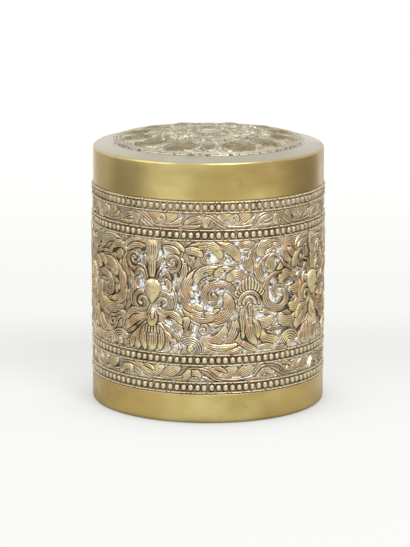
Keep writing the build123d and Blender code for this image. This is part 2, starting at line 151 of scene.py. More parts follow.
class Panel:
    """Relief over an unrolled strip. x runs round it and joins up again, y runs across it."""

    GROOVE = 0.16           # depth of the traced line round each stamp
    CHASE = 0.2             # depth of a chased line, and the half-width of its tool
    NIB = 0.16

    def __init__(self, around, low, high, step, seed):
        self.columns = round(around / step)
        self.rows = round((high - low) / step) + 1
        self.low = low
        self.dx = around / self.columns
        self.dy = (high - low) / (self.rows - 1)
        self.y = low + np.arange(self.rows) * self.dy
        size = (self.rows, self.columns)
        self.tint = np.full(size, 0.5)
        self.height, self.leafy, self.chased, self.dirt, self.soil = (np.zeros(size) for _ in range(5))
        self.draw = random.Random(seed)

    def window(self, spine, reach):
        """Index of the cells within reach of a spine, and their places."""
        left, bottom = spine.min(0) - reach
        right, top = spine.max(0) + reach
        i = np.arange(math.floor(left / self.dx), math.ceil(right / self.dx) + 1)
        first = max(0, math.floor((bottom - self.low) / self.dy))
        last = min(self.rows, math.ceil((top - self.low) / self.dy) + 1)
        j = np.arange(first, last)
        x, y = np.meshgrid(i * self.dx, self.low + j * self.dy)
        return np.ix_(j, i % self.columns), x, y

    def spot(self, x, y, reach):
        """Index of the cells round a place, and how far right and up of it they are."""
        cells, px, py = self.window(np.array([(x, y)], float), reach)
        return cells, px - x, py - y

    def measure(self, spine, x, y):
        """Share of the way along the spine, and signed distance from it, of each place."""
        steps = np.diff(spine, axis=0)
        squares = np.maximum((steps**2).sum(1), 1e-12)
        reach = np.concatenate([[0], np.cumsum(np.sqrt(squares))])
        best = np.full(x.shape, np.inf)
        along, side = np.zeros(x.shape), np.zeros(x.shape)
        for k, (start, step) in enumerate(zip(spine, steps)):
            px, py = x - start[0], y - start[1]
            t = np.clip((px * step[0] + py * step[1]) / squares[k], 0, 1)
            ox, oy = px - t * step[0], py - t * step[1]
            off = ox * ox + oy * oy
            near = off < best
            best = np.where(near, off, best)
            along = np.where(near, reach[k] + t * (reach[k + 1] - reach[k]), along)
            side = np.where(near, np.sign(step[0] * oy - step[1] * ox), side)
        return along / reach[-1], side * np.sqrt(best)

    def stamp(self, spine, half, rise, lines=0, bevel=0.6, cut=0.26, root=0.0, tint=None, crown=0.25,
              under=False, groove=1.0):
        """Raises a leaf or stem whose half-width along the spine is half, chased with lines along it.

        Over the share root of its length it grows out of what is there. One laid under fills bare ground.
        """
        half = np.broadcast_to(np.asarray(half, float), (len(spine),))
        cells, x, y = self.window(spine, half.max() + 2 * cut)
        if x.size == 0:
            return
        along, off = self.measure(spine, x, y)
        wide = np.interp(along, np.linspace(0, 1, len(half)), half)
        inside = wide - np.abs(off)
        over = inside > 0
        old, leafy = self.height[cells], self.leafy[cells]
        if under:
            over &= (old > -0.04) & (leafy < 0.3)
        grow = smooth(0, root, along) if root else 1.0
        share = np.clip(inside / min(bevel, max(half.max(), 0.2)), 0, 1)
        arch = 1 - crown * (1 - np.clip(inside / half.max(), 0, 1)) ** 2
        form = rise * arch * np.sqrt(1 - (1 - share) ** 2)
        shown = 1 - (smooth(0.62, 0.95, along) if root else smooth(0.9, 1.0, along))
        chased = np.zeros(x.shape)
        for k in range(lines):
            place = (2 * k + 2) / (lines + 1) - 1
            chased = np.maximum(chased, np.exp(-(((off - place * wide) / self.NIB) ** 2)))
        chased *= shown * (share > 0.3)
        form = np.maximum(form - self.CHASE * chased, 0.03)
        raised = old + (form + 0.12 * np.maximum(old, 0) - old) * grow
        outline = np.zeros(x.shape)
        if not under:
            outline = smooth(-2 * cut, -0.02, inside) * (inside <= 0) * grow * groove
        tint = self.draw.random() if tint is None else tint
        tone = tint if tint > 1 else 0.45 * tint + 0.55 * (1 - smooth(0.25, 0.85, along)) * (lines > 0)
        covered = np.maximum(smooth(0, 0.2, inside), leafy * (share < 0.9))
        self.height[cells] = np.where(over, raised, old * (1 - outline) - self.GROOVE * outline)
        self.tint[cells] = np.where(over, tone, self.tint[cells])
        self.chased[cells] = np.where(over, chased * grow, self.chased[cells] * (1 - outline))
        self.leafy[cells] = np.where(over, covered, leafy * (1 - outline))

    def sink(self, x, y, radius):
        """Clears an uneven patch down to the ground."""
        cells, dx, dy = self.spot(x, y, 1.5 * radius)
        angle = np.arctan2(dy, dx)
        first, second = self.draw.uniform(0, 6.28), self.draw.uniform(0, 6.28)
        edge = radius * (1 + 0.25 * np.sin(2 * angle + first) + 0.18 * np.sin(5 * angle + second))
        sunk = smooth(-0.12, 0.12, edge - np.hypot(dx, dy))
        for field in (self.height, self.leafy, self.chased):
            field[cells] *= 1 - sunk

    def stain(self, x, y, radius, depth=1.0):
        """Marks a stretch where dirt lies thick in the recesses."""
        cells, dx, dy = self.spot(x, y, radius)
        soil = depth * smooth(radius, 0.4 * radius, np.hypot(dx, dy))
        self.soil[cells] = np.maximum(self.soil[cells], soil)

    def fill(self, low, high, spacing, widest, gap, keep=()):
        """Small leaves wherever ground is left bare, except round the places to keep."""
        ways = [(math.cos(math.radians(t)), math.sin(math.radians(t))) for t in range(0, 360, 30)]
        for row in range(int((high - low) / spacing) + 1):
            for column in range(int(self.columns * self.dx / spacing)):
                x = (column + self.draw.uniform(0.1, 0.9)) * spacing
                y = low + (row + self.draw.uniform(0.1, 0.9)) * spacing
                if not self.bare(x, y, gap) or any(self.near(x, y, *place) for place in keep):
                    continue
                room = [self.reach(x, y, dx, dy, 3.2) for dx, dy in ways]
                best = max(range(len(ways)), key=lambda k: room[k] + 0.4 * self.draw.random())
                dx, dy = ways[best]
                back = self.reach(x, y, -dx, -dy, 1.2) + 0.5
                length = room[best] + 0.5
                bend = self.draw.uniform(-0.5, 0.5)
                spine = bezier((x - back * dx, y - back * dy), (x - bend * dy, y + bend * dx),
                               (x + length * dx, y + length * dy), steps=8)
                width = min(widest, 0.9 + 0.45 * (back + length))
                self.stamp(spine, leaf_widths(width, 8, 0.5, 0.5, 0.9), 0.75, 2, bevel=0.45, under=True)

    def taken(self, x, y):
        """Whether a leaf covers the place, or it is off the panel."""
        row, column = round((y - self.low) / self.dy), round(x / self.dx) % self.columns
        return not 0 <= row < self.rows or self.leafy[row, column] > 0.1

    def bare(self, x, y, gap):
        around = ((0, 0), (gap, 0), (-gap, 0), (0, gap), (0, -gap))
        return not any(self.taken(x + dx, y + dy) for dx, dy in around)

    def reach(self, x, y, dx, dy, most):
        """How far the ground stays bare that way."""
        for step in range(1, 9):
            if self.taken(x + dx * most * step / 8, y + dy * most * step / 8):
                return most * (step - 1) / 8
        return most

    def near(self, x, y, at_x, at_y, radius):
        around = self.columns * self.dx
        across = (x - at_x + around / 2) % around - around / 2
        return across**2 + (y - at_y) ** 2 < radius**2


class Pen:
    """Draws motifs on a panel from a place, mirrored by flip, scaled by size and turned by degrees.

    The points of a leaf or a stem are given as x, y, x, y and so on.
    """

    def __init__(self, panel, at=(0, 0), flip=1, size=(1, 1), turn=0):
        self.panel, self.at, self.flip, self.size, self.turn = panel, at, flip, size, turn

    def mirrored(self, side):
        return Pen(self.panel, self.at, self.flip * side, self.size, self.turn)

    def place(self, points):
        x, y = (np.array(points, float) * [self.flip * self.size[0], self.size[1]]).T
        c, s = math.cos(math.radians(self.turn)), math.sin(math.radians(self.turn))
        return np.stack([self.at[0] + c * x - s * y, self.at[1] + s * x + c * y], 1)

    def leaf(self, width, *points, rise=1.05, lines=None, base=0.75, peak=0.45, tip=0.8, root=0.3, **more):
        lines = max(1, round(width / 0.8) - 1) if lines is None else lines
        shaken = [value + self.panel.draw.uniform(-0.12, 0.12) for value in points]
        spine = self.place(bezier(*np.reshape(shaken, (-1, 2))))
        half = leaf_widths(width, len(spine), base, peak, tip)
        self.panel.stamp(spine, half, rise, lines, root=root, **more)

    def stem(self, widths, *points, rise=0.95, lines=2, **more):
        """A stem through the points; its widths are spaced evenly from end to end."""
        spine = self.place(through(np.reshape(points, (-1, 2))))
        half = np.interp(np.linspace(0, 1, len(spine)), np.linspace(0, 1, len(widths)), widths) / 2
        self.panel.stamp(spine, half, rise, lines, bevel=0.5, groove=0.9, tint=STEM_TONE, **more)

    def curl(self, centre, radius, start, turns, width=1.2, end=0.9, rise=0.9, lines=1, close=0.8,
             power=1.3, **more):
        """A stem that winds in to its eye, or a plain arc where close is 0."""
        t = np.linspace(0, 1, max(12, round(26 * abs(turns))))
        angle = math.radians(start) + 2 * math.pi * turns * t
        spine = self.arc(centre, radius * (1 - close * t**power), angle)
        self.panel.stamp(spine, np.linspace(width, end, len(spine)) / 2, rise, lines, bevel=0.5, **more)

    def arc(self, centre, reach, angle):
        return self.place(np.array(centre) + np.stack([reach * np.cos(angle), reach * np.sin(angle)], 1))

    def knob(self, centre, radius, rise=1.0, length=0.01, **more):
        spine = self.place([(centre[0], centre[1] - length / 2), (centre[0], centre[1] + length / 2)])
        self.panel.stamp(spine, radius, rise, 0, bevel=radius, crown=0, **more)

    def shell(self, centre, radius, start, sweep):
        """Ribs one outside another round a small leaf."""
        ribs, core = 4, 0.35
        angles = np.radians(start + sweep * np.linspace(0, 1, 24))
        wide = radius * (1 - core) / ribs / 2
        half = wide * np.sqrt(np.sin(np.pi * np.linspace(0.04, 0.96, 24)))
        for k in range(ribs, 0, -1):
            rib = self.arc(centre, radius * (core + (1 - core) * (k - 0.5) / ribs), angles)
            self.panel.stamp(rib, half, 0.7 + 0.3 * k / ribs, 0, bevel=wide, cut=0.12)
        middle = math.radians(start + sweep / 2)
        self.leaf(radius * core * 1.5, *centre, centre[0] + radius * core * math.cos(middle),
                  centre[1] + radius * core * math.sin(middle), lines=0, base=0.8, rise=1.0, root=0)


# ---- motifs; those of the frieze are drawn about their own axis, with y from its foot

def scroll_motif(pen):
    """A large scroll with its lobes, the arch of leaves over it and the leaves at its foot."""
    pen.stem((1.3, 1.7, 1.2), -12.7, 36.7, -11.7, 40.2, -8.9, 43.4, -4.5, 45.4, 0.5, 45.8, 5, 44.8, 8.5,
             42.2, 10.9, 38.6)
    pen.leaf(3.2, -12, 37.2, -12, 34.6, -10.1, 33.8, -8.1, 35.4, tint=0)
    pen.leaf(3.5, -10.9, 40.2, -9.5, 43, -5.9, 43.2, -3.5, 39.8, tint=0.9)
    pen.leaf(4.6, -7, 44, -2, 45.4, 3.1, 44.2, 3.3, 39, tint=0.1)
    pen.leaf(4.4, 2, 44.4, 7, 44.2, 9.7, 41.4, 10.1, 37.6, tint=0.1)
    pen.stem((1.5, 1.8, 2.2, 2.2, 1.8), 11.7, 32.2, 8, 34.6, 4, 35.7, 0, 35.9, -4, 35.1, -7.3, 33, -9.7,
             29.8, -10.9, 26, -11.1, 22, -10.3, 18.2, -8.3, 15, -5.3, 12.8, -1.5, 11.9, 2.5, 12.4, 6,
             14.6, 8.3, 18, 8.9, 21.7, 8.5, 24.4, lines=3)
    pen.leaf(4.2, 3, 34, -2, 35.2, -6.8, 33.2, -5.7, 28.6, tint=0.1)
    pen.leaf(3.8, 9.5, 32.5, 6, 34.8, 1.7, 34.8, 1.5, 31.4, tint=0.8)
    pen.leaf(4.4, 12.5, 30.3, 11, 33.2, 7.5, 33.2, 6, 29.8, tint=0.2)
    pen.leaf(4.2, -7.3, 32.2, -10.7, 28.6, -10.9, 24.2, -6.7, 24, tint=0.2)
    pen.leaf(4.6, -10.1, 26.2, -11.4, 21, -8.5, 18.1, -3.1, 19.1, tint=1)
    pen.leaf(4.6, -9.1, 18.2, -6, 14.4, 0, 13.6, 2.9, 18.8, tint=0.5)
    pen.leaf(5, -1, 13.7, 5.3, 14.4, 9.1, 19.7, 4.5, 24.8, tint=0.8)
    pen.stem((1, 2.4, 3.2, 3.2, 2.6, 2, 1.5), 8.9, 22.6, 8.5, 25.4, 6.7, 27.6, 4, 28.7, 1, 28.6, -1.5,
             27.4, -3, 25.2, -3.1, 22.8, -2, 21.2, -0.2, 20.7, 1.3, 21.7, 1.4, 23.4, 0.5, 24.5, lines=3)
    pen.curl((-3.2, 9.8), 2.2, 100, -1.2, width=1.4)
    pen.leaf(4.4, -11.2, 8.6, -11.4, 11.2, -10.4, 13.2, -8.7, 14.8, peak=0.3, root=0.1)
    pen.leaf(4.2, -2.4, 5.6, 2, 4.8, 5.4, 7.4, 4.7, 11.6)
    pen.leaf(4.2, 4, 4.6, 8.4, 6.2, 9.9, 9.8, 8.7, 14.4)
    pen.leaf(3, 7.4, 3.2, 10.9, 4.6, 12.3, 7.8, 12.1, 11.8)
    pen.leaf(2.8, -3, 4.4, 1, 2.2, 6, 2, 10, 4.2)
    pen.leaf(2.4, 5, 0.7, 8, 0.6, 11.3, 1.6, 13.3, 4)
    pen.shell((-8.4, 1.8), 5.4, -15, 160)
    pen.leaf(3, 10, 43.2, 12.6, 45.4, 15.4, 45.2, 18, 42.4)
    pen.leaf(2.4, 11.6, 40.4, 13.4, 41.6, 14.6, 40.6, 14.8, 38)


def counter_scroll_motif(pen):
    """The scroll that answers the first: two arches, a large curl at its shoulder and a shell at its foot."""
    pen.stem((1.3, 1.6, 1.1), -16.9, 34.4, -16.6, 38.2, -14.4, 41.9, -11.3, 44.4, -7.3, 45.5, -3.3, 44.9,
             -0.6, 42.7)
    pen.leaf(4, -16.3, 41, -17, 38, -15.8, 35.6, -13.9, 33.4, tint=0.9)
    pen.leaf(4.8, -2.8, 44.2, -7.3, 46, -12, 43.6, -9.9, 38.6, tint=0.1)
    pen.leaf(2.8, -5, 43.4, -2.6, 43.6, -1.4, 42, -2.2, 39.8)
    pen.stem((1.2, 1.6, 1.1), -12.3, 28.4, -12.2, 32.4, -11, 36, -8.3, 38.6, -4.8, 39.6, -2, 38.6, -0.8,
             36)
    pen.leaf(3.8, -11.2, 37, -12.4, 33.8, -11.2, 31, -8.9, 28.8, tint=1)
    pen.leaf(4.4, -2.6, 38.8, -6.2, 38.8, -7.2, 34.8, -4.7, 31, tint=0.4)
    pen.leaf(2.6, -0.7, 37.6, 0.2, 35.4, -0.8, 33.2, -2.8, 32.4, tint=0.1)
    pen.stem((1.5, 2, 2.2, 1.8), -13.5, 13, -10.3, 10.8, -6.3, 9.4, -2.3, 9, 1.7, 9.7, 5.7, 11.7, 8.6,
             14.8, 10.2, 18.8, 10, 23.2, 8.3, 27, 5.1, 29.9, 1.1, 31.5, -2.9, 31.7, lines=3)
    pen.leaf(4.2, 5.5, 30.6, 2, 31.8, -1.6, 30.2, -0.5, 27, tint=1)
    pen.leaf(4.2, 9.6, 26.8, 8.9, 23.6, 6.6, 22.6, 3.3, 24.6, tint=0.9)
    pen.leaf(4.8, 10.3, 21.2, 9.8, 16.9, 7, 15.2, 3.6, 18.2, tint=0.2)
    pen.leaf(4.8, 8.1, 12.9, 4.4, 10.2, -1, 10.4, -0.6, 15.4, tint=0.4)
    pen.stem((1.2, 2.4, 3.3, 3.2, 3, 2.8, 1.6), -1, 31.8, -4.4, 31.2, -7, 29.2, -8.1, 26, -8, 22.4, -6.6,
             19.4, -3.9, 17.5, -0.9, 17.4, 1.4, 18.8, 2.3, 21.2, 1.4, 23.6, -0.6, 24.6, lines=3)
    pen.knob((-1, 24.4), 1.1, rise=0.8)
    pen.leaf(4.6, -13.5, 12.4, -10.3, 11.2, -6.3, 11.2, -4.7, 14.8, tint=0.7)
    pen.leaf(2.2, -11.8, 15.6, -9.4, 17.2, -7.2, 16.8, -5.4, 15.4)
    pen.leaf(6, 0.6, 43.4, 4.7, 46.4, 10, 43.6, 9.4, 37.8, lines=6, tint=1)
    pen.leaf(3.4, 1, 42.8, 0.5, 39.2, 2.1, 36.7, 4.9, 35.8, tint=0.9)
    pen.leaf(3.2, 3.6, 42, 4.4, 39.8, 6, 38.4, 8.4, 38)
    pen.leaf(2.6, 8.6, 44.8, 11.2, 45, 13.6, 43.4, 14.4, 40.6)
    pen.stem((1.7, 1.2), -0.8, 37.2, 1.7, 34.6, 5.7, 32.6, 10.7, 31.8)
    pen.leaf(2.8, 3.6, 34.6, 7.4, 35.4, 10.6, 34.6, 12.8, 32.8)
    pen.shell((4.2, 1.4), 6.3, 8, 160)
    pen.leaf(3.5, -13.5, 12.4, -15.5, 9.4, -13.8, 6, -11.6, 4.2, tint=0)
    pen.leaf(4.2, -9.9, 8.2, -9.2, 5, -5.6, 3.6, -1.7, 5, tint=0.4)
    pen.leaf(2.5, -11.8, 1.2, -9.2, 2.8, -5.8, 2.4, -3.6, 1, tint=0.1)
    pen.leaf(3.2, 9, 8, 11.6, 10.2, 12.6, 13, 11.2, 16.2)


def fan_motif(pen):
    """A fan of rays over two arches, on a stem between leaves."""
    middle = 20.6
    for k in range(11):
        angle = math.radians(30 + 12 * k)
        c, s = math.cos(angle), math.sin(angle)
        sway = 1.1 * math.cos(angle)
        pen.leaf(1.35, 4.6 * c, middle + 4.8 * s, 5.8 * c + sway, middle + 6.6 * s, 6.6 * c + sway,
                 middle + 8.6 * s, 6 * c, middle + 10.6 * s, lines=0, rise=0.9, base=0.8, peak=0.6,
                 tip=1, cut=0.16, root=0, tint=0.2)
    for side in (1, -1):
        pen.mirrored(side).leaf(2.6, 1.6, 19.4, 4.4, 20.4, 5.6, 19.6, 4.4, 17.2)
    pen.curl((0, 20.7), 4.3, -4, 0.52, width=1.6, end=1.6, close=0)
    pen.curl((0, 20.5), 2.5, 0, 0.5, width=1.5, end=1.5, close=0, lines=0)
    pen.knob((0, 19.8), 1.4, rise=1.05)
    pen.leaf(2.6, -3, 19, -3.6, 14.6, -1.6, 11, -3, 5.6, tint=0.9)
    pen.stem((2.1, 1.6), 0.4, 19.4, 0.5, 16.5, 0.6, 12.6, lines=1)
    pen.leaf(3.8, 1.6, 13.6, -1.6, 10, 0.2, 6.2, 3.6, 3.4)
    pen.leaf(2.6, 1.8, 13.4, 4, 11.4, 4.6, 8.8, 3.6, 5.8)
    pen.leaf(2.8, -4.6, 5.8, -2, 3.4, 0.2, 2.2, 3.6, 0.8)


def boss_motif(pen):
    """A smooth heart-shaped boss with volutes, ears, buds and a tassel."""
    for side in (1, -1):
        pair = pen.mirrored(side)
        pair.leaf(3, 2.6, 44.8, 6, 46.2, 11, 45.2, 14, 41.6)
        pair.leaf(2.6, 3.6, 42.2, 7, 43.8, 9.8, 43, 12.4, 40.4)
        pair.leaf(3.2, 12.8, 30.6, 14.6, 34, 14, 37.4, 10.8, 39.2)
        pair.curl((8.7, 37), 4.1, -120, 1.35, width=1.8, end=1.2, power=1, lines=2)
        pair.stem((1.2, 0.8), 2.2, 28.6, 2.6, 31.6, 4, 34.6, 6.6, 35.4, lines=1)
        pair.stem((1.6, 2, 1.4), 3.2, 29, 4.4, 32.2, 6.4, 32.8, 7.6, 30, 7.6, 25.4)
        pair.curl((5.1, 26.8), 3.3, 70, -0.95, width=1.5, end=1, close=0.55)
        pair.leaf(3, 7.4, 27.4, 9.8, 25.6, 10.4, 22, 8.8, 17.6)
        pair.curl((4.9, 19.9), 4.6, 120, -1.5, width=2.1, end=1.4, power=1, lines=2)
        pair.stem((2.4, 2), 3.1, 11, 6.1, 7.8, 9.1, 4.8, 12, 2.4, lines=3)
        pair.leaf(4.4, 4.2, 14, 7.8, 14, 11.4, 12.2, 12.8, 7.6)
        pair.leaf(3, 5, 15.2, 8.4, 17.2, 11.2, 15.8, 12.8, 11.8)
        pair.leaf(4.6, 3.6, 7.4, 6.6, 8, 8.2, 4.2, 6.2, 0.6)
        pair.leaf(3.4, 1.4, 10, 4.4, 9.2, 5, 4.6, 2.8, 0.6)
        pair.leaf(3, 8.4, 6.2, 9.6, 4.4, 10.4, 2.6, 10.2, 0.6)
    pen.leaf(5.2, 0, 46, 0, 42.8, 0, 40, 0, 36.8, base=0.75, peak=0.4)
    pen.leaf(3.6, 0, 38.6, 0.2, 35.8, -0.2, 33.2, 0, 29.8, peak=0.35)
    pen.leaf(5, 0, 10.2, 0, 7, 0, 4, 0, 0.4, base=0.85, peak=0.5)
    for k in range(-2, 3):
        pen.leaf(1.1, k * 1.25, 10.8, k * 1.35, 9.6, k * 1.4, 8.6, k * 1.45, 7.4, lines=0, rise=0.9,
                 root=0)
    pen.leaf(4.8, 0, 18, 0.4, 15, -0.4, 12.8, 0, 10.2, base=0.5, peak=0.6)
    pen.leaf(2, 0, 17, 0.2, 16, 0.2, 15, 0, 13.2, lines=0)
    t = np.linspace(0, 1, 26)
    egg = 3.75 * np.sin(np.pi / 2 * (0.05 + 0.95 * t)) ** 0.85
    spine = pen.place(np.stack([0 * t, 20 + 6.3 * t], 1))
    pen.panel.stamp(spine, egg, 1.5, bevel=3.4, tint=0.2, cut=0.4, crown=0)


def upper_wave(pen):
    """One repeat of the upper scroll band, 30.3 mm long."""
    pen.leaf(3.8, -5.4, 4.8, -7.4, 5.6, -12.6, 4.6, -12.2, 1.4)
    pen.leaf(3, -1.4, 5.2, -3.8, 4, -5.2, 2.2, -3.6, 0.3)
    pen.leaf(3.2, -3.4, 5.6, 0.2, 4.8, 2, 1.6, 4.6, 0.4)
    pen.leaf(3.8, 1.4, 3, 2.8, 6.4, 6.6, 6.2, 6.8, 2.2)
    pen.leaf(5, 8.2, 0.6, 9.4, 3.2, 11.6, 4.4, 14.6, 5.6, lines=5)
    pen.leaf(2, 7, 5.6, 8.6, 4.8, 9.2, 3.6, 9, 2.6)
    pen.leaf(2.6, 10.6, 0.7, 13.4, 1, 15.4, 2.4, 16.4, 4.4)
    pen.leaf(1.8, -13.4, 0.9, -10.4, 0.3, -8, 0.4, -6.2, 1.4)
    pen.stem((0.9,), -14.4, 1.2, -12.2, 4.2, -8.4, 5.7, -3, 5.3, 0.6, 3.3, 4.2, 1, 8.6, 0.5, 12.6, 0.6,
             15.9, 1.2, lines=1, rise=0.85)


def lower_wave(pen):
    """One repeat of the lower scroll band, 30.3 mm long."""
    pen.leaf(4.2, -5.6, 5.6, -2, 5.8, 0.8, 2.4, 5.4, 0.8)
    pen.leaf(4.4, 3.8, 1, 5.4, 3, 7.6, 4.6, 10.8, 5)
    pen.leaf(4.6, 10.4, 0.7, 11.4, 3, 14.2, 4.4, 17.4, 5.5)
    pen.leaf(3.2, 16.8, 0.8, 19, 1, 20.8, 2.4, 21.2, 5)
    pen.leaf(3.2, -10.8, 0.9, -9.4, 4.4, -6, 4.8, -4.6, 1.4)
    pen.leaf(1.8, 0, 5.8, 2.6, 5.8, 5, 5, 6.2, 3.6)
    pen.leaf(1.6, 7, 0.9, 9, 0.6, 11, 0.8, 12.4, 1.6)
    pen.stem((0.8,), -12.4, 1.8, -9.4, 5, -5.6, 5.4, -1.2, 4.2, 2, 1.6, 6.4, 0.7, 12.4, 0.7, 17.9, 1.8,
             lines=1, rise=0.85)


# Bare ground left between the leaves of the frieze's front half: along it from the middle, height, radius.
OPEN_GROUND = [
    (-9, 68, 1.8), (-4.2, 66.4, 1.5), (1.8, 67.6, 1.7), (0.2, 70.8, 1.1), (8.2, 66.8, 1.2),
    (6.3, 61.8, 1.1), (3.8, 59.4, 1), (-0.9, 61.8, 1), (-0.6, 58.6, 1.2), (-5.6, 56.6, 1.3),
    (-3.7, 54, 1.1), (-6.6, 50, 1.1), (-3.2, 50.5, 1.3), (5.4, 55, 1.7), (4.7, 50.4, 1.1),
    (5.7, 47.4, 0.9), (0.4, 47.6, 1.8), (-2, 44.9, 1), (10.6, 45.4, 1.6), (10.2, 43.2, 1.2),
    (12.4, 64.2, 0.9), (14.6, 68.4, 1.4), (21, 67, 1.2), (24.4, 62.2, 1.1), (25, 60.2, 1),
    (30.4, 69.6, 1.2), (30.8, 65, 1.1), (29.2, 57.4, 1.3), (35.8, 56, 1.4), (37, 50.2, 1.6),
    (34.8, 45.6, 1.3), (27.8, 50, 1.6), (28.4, 41.6, 1), (22, 44, 1.3), (16.2, 44.4, 1.1),
    (39.6, 61, 1.3), (-18.8, 70.4, 1.6), (-18.4, 62, 1.3), (-13.6, 59.4, 2), (-14.6, 53.4, 1.4),
    (-12, 48.6, 1.5), (-16.2, 41.8, 1.9), (-11.6, 37.6, 1.2), (-13.4, 31.8, 1.3), (-21, 48, 0.9),
    (-19.6, 64, 0.8), (6.9, 36, 1), (12.4, 38.4, 1), (-27.4, 70.2, 1.4), (-30.2, 66.8, 1), (-28, 57.6, 1),
]
# Stretches of it where dirt lies thick: along it from the middle, height, radius.
DIRTY_GROUND = [
    (-36, 63, 9), (-33.5, 47, 9), (-31, 36, 9), (-41, 54, 9), (-20, 34, 5), (-16.5, 44.5, 3.5),
    (-29, 71, 4), (-46, 38, 9), (-16, 59.5, 3), (-9, 40.5, 3), (15, 36.5, 5), (23.5, 35, 4.5),
    (22.5, 52, 3.5), (39, 66, 8), (42.5, 52, 8), (46, 38, 11), (36, 34, 6), (50, 64, 10), (-54, 62, 12),
    (-56, 44, 12), (54, 50, 12), (64, 60, 12), (64, 40, 12), (-68, 52, 12), (-44, 66, 9), (-46, 50, 10),
    (36, 46, 8), (33, 60, 7), (-24, 62, 6), (-24, 41, 5),
]
# The medallion's lobes: bearing from the front, width.
LOBES = [
    (0, 7), (24, 14.2), (-24, 14.2), (52, 10.6), (-52, 10.8), (79, 10.2), (-80, 11), (107, 10.4),
    (-106, 10), (134, 10.8), (-134, 10.4), (161, 10.2), (-161, 10.6),
]


def bead_row(panel, middle, dirt, soil, rise):
    """Domed beads punched side by side, no two quite alike, with dirt packed between them."""
    pitch = AROUND / BEADS
    row = np.abs(panel.y - middle) < BEAD_ROW / 2 + 0.25
    panel.dirt[row] = dirt
    panel.soil[row] = soil
    panel.tint[row] = FILLET_TONE
    for _ in range(14):                 # dirtier stretches
        panel.stain(panel.draw.uniform(0, AROUND), middle, panel.draw.uniform(3, 7), 0.8)
    for k in range(BEADS):
        at = ((k + panel.draw.uniform(0.46, 0.54)) * pitch, middle + panel.draw.uniform(-0.06, 0.06))
        radius, share = panel.draw.uniform(1.06, 1.26), panel.draw.uniform(0.8, 1.0)
        Pen(panel, at).knob((0, 0), radius, rise=rise * share, length=0.45, cut=0.25, tint=BEAD_TONE)


def fillet(panel, low):
    """A traced ridge between two grooves, dented and nicked by the tracer all the way round."""
    along = 2 * math.pi * np.arange(panel.columns) / panel.columns
    waves = [np.sin(count * along + panel.draw.uniform(0, 6.28)) for count in (37, 59, 97, 143, 181)]
    dents = smooth(0.3, 2.6, sum(waves))
    across = 2 * (panel.y - low) / FILLET - 1
    inside = np.abs(across) < 1
    ridge = 0.9 * np.sqrt(np.clip(1 - (across / 0.62) ** 2, 0, 1)) - 0.12 * (np.abs(across) > 0.62)
    ridge = ridge[inside, None]
    panel.height[inside] = ridge * (1 - 0.45 * dents)
    panel.leafy[inside] = ridge > 0.2
    panel.tint[inside] = FILLET_TONE
    panel.chased[inside] = 0.55 * dents


def sleeve_panel():
    """The whole unrolled sleeve: two borders with the frieze between them."""
    panel = Panel(AROUND, SLEEVE_FOOT, SLEEVE_TOP, SLEEVE_STEP, seed=7)
    half = AROUND / 2
    front = half                        # x of the bearing that faces the viewer
    foot = SLEEVE_FOOT + BORDER
    # motif, place along the frieze from its middle, flip, width
    layout = [(scroll_motif, -49.0, -1, 1.06), (counter_scroll_motif, 71.0, -1, 0.9),
              (scroll_motif, 1.5, 1, 1.06), (counter_scroll_motif, 32.3, 1, 1.0),
              (fan_motif, -64.8, 1, 1.0), (fan_motif, 17.0, 1, 1.0),
              (boss_motif, -23.6, 1, 1.0), (boss_motif, 52.0, 1, 0.93)]
    for repeat in range(2):
        for motif, place, flip, width in layout:
            motif(Pen(panel, (front + place + repeat * half, foot), flip, (width, FRIEZE / MOTIF_HEIGHT)))
    band = 2 * FILLET + BEAD_ROW
    for k in range(WAVES):
        upper_wave(Pen(panel, (front + 3.0 + k * AROUND / WAVES, foot + FRIEZE + band)))
        lower_wave(Pen(panel, (front + 1.5 + k * AROUND / WAVES, SLEEVE_FOOT + band)))
    keep = [(front + x + turn, z, radius) for x, z, radius in OPEN_GROUND for turn in (0, half)]
    panel.fill(foot + 0.4, foot + FRIEZE - 0.4, 1.5, 2.2, 0.7, keep)
    for x, z, radius in keep:
        panel.sink(x, z, 0.95 * radius)
    for low, depth, soil in ((SLEEVE_FOOT + band, 0.8, 0.34), (foot + FRIEZE + band, 0.45, 0.46)):
        panel.fill(low + 0.5, low + SCROLL_BAND - 0.5, 1.3, 1.5, 0.6)
        first = round((low - panel.low) / panel.dy)
        last = first + round(SCROLL_BAND / panel.dy)
        panel.soil[first:last] = soil
        panel.height[first:last] *= depth
        panel.chased[first:last] *= (1 + depth) / 2
    for x, z, radius in DIRTY_GROUND:
        panel.stain(front + x, z, radius)
        panel.stain(front + x + half, z, radius)
    for border in (SLEEVE_FOOT, foot + FRIEZE):
        for row in (FILLET, BORDER - FILLET - BEAD_ROW):
            topmost = border > SLEEVE_FOOT and row > FILLET
            dirt, soil, rise = (0.35, 0.0, 0.85) if topmost else (0.8, 0.4, 1.08)
            bead_row(panel, border + row + BEAD_ROW / 2, dirt, soil, rise)
            fillet(panel, border + row - FILLET)
            fillet(panel, border + row + BEAD_ROW)
    return panel


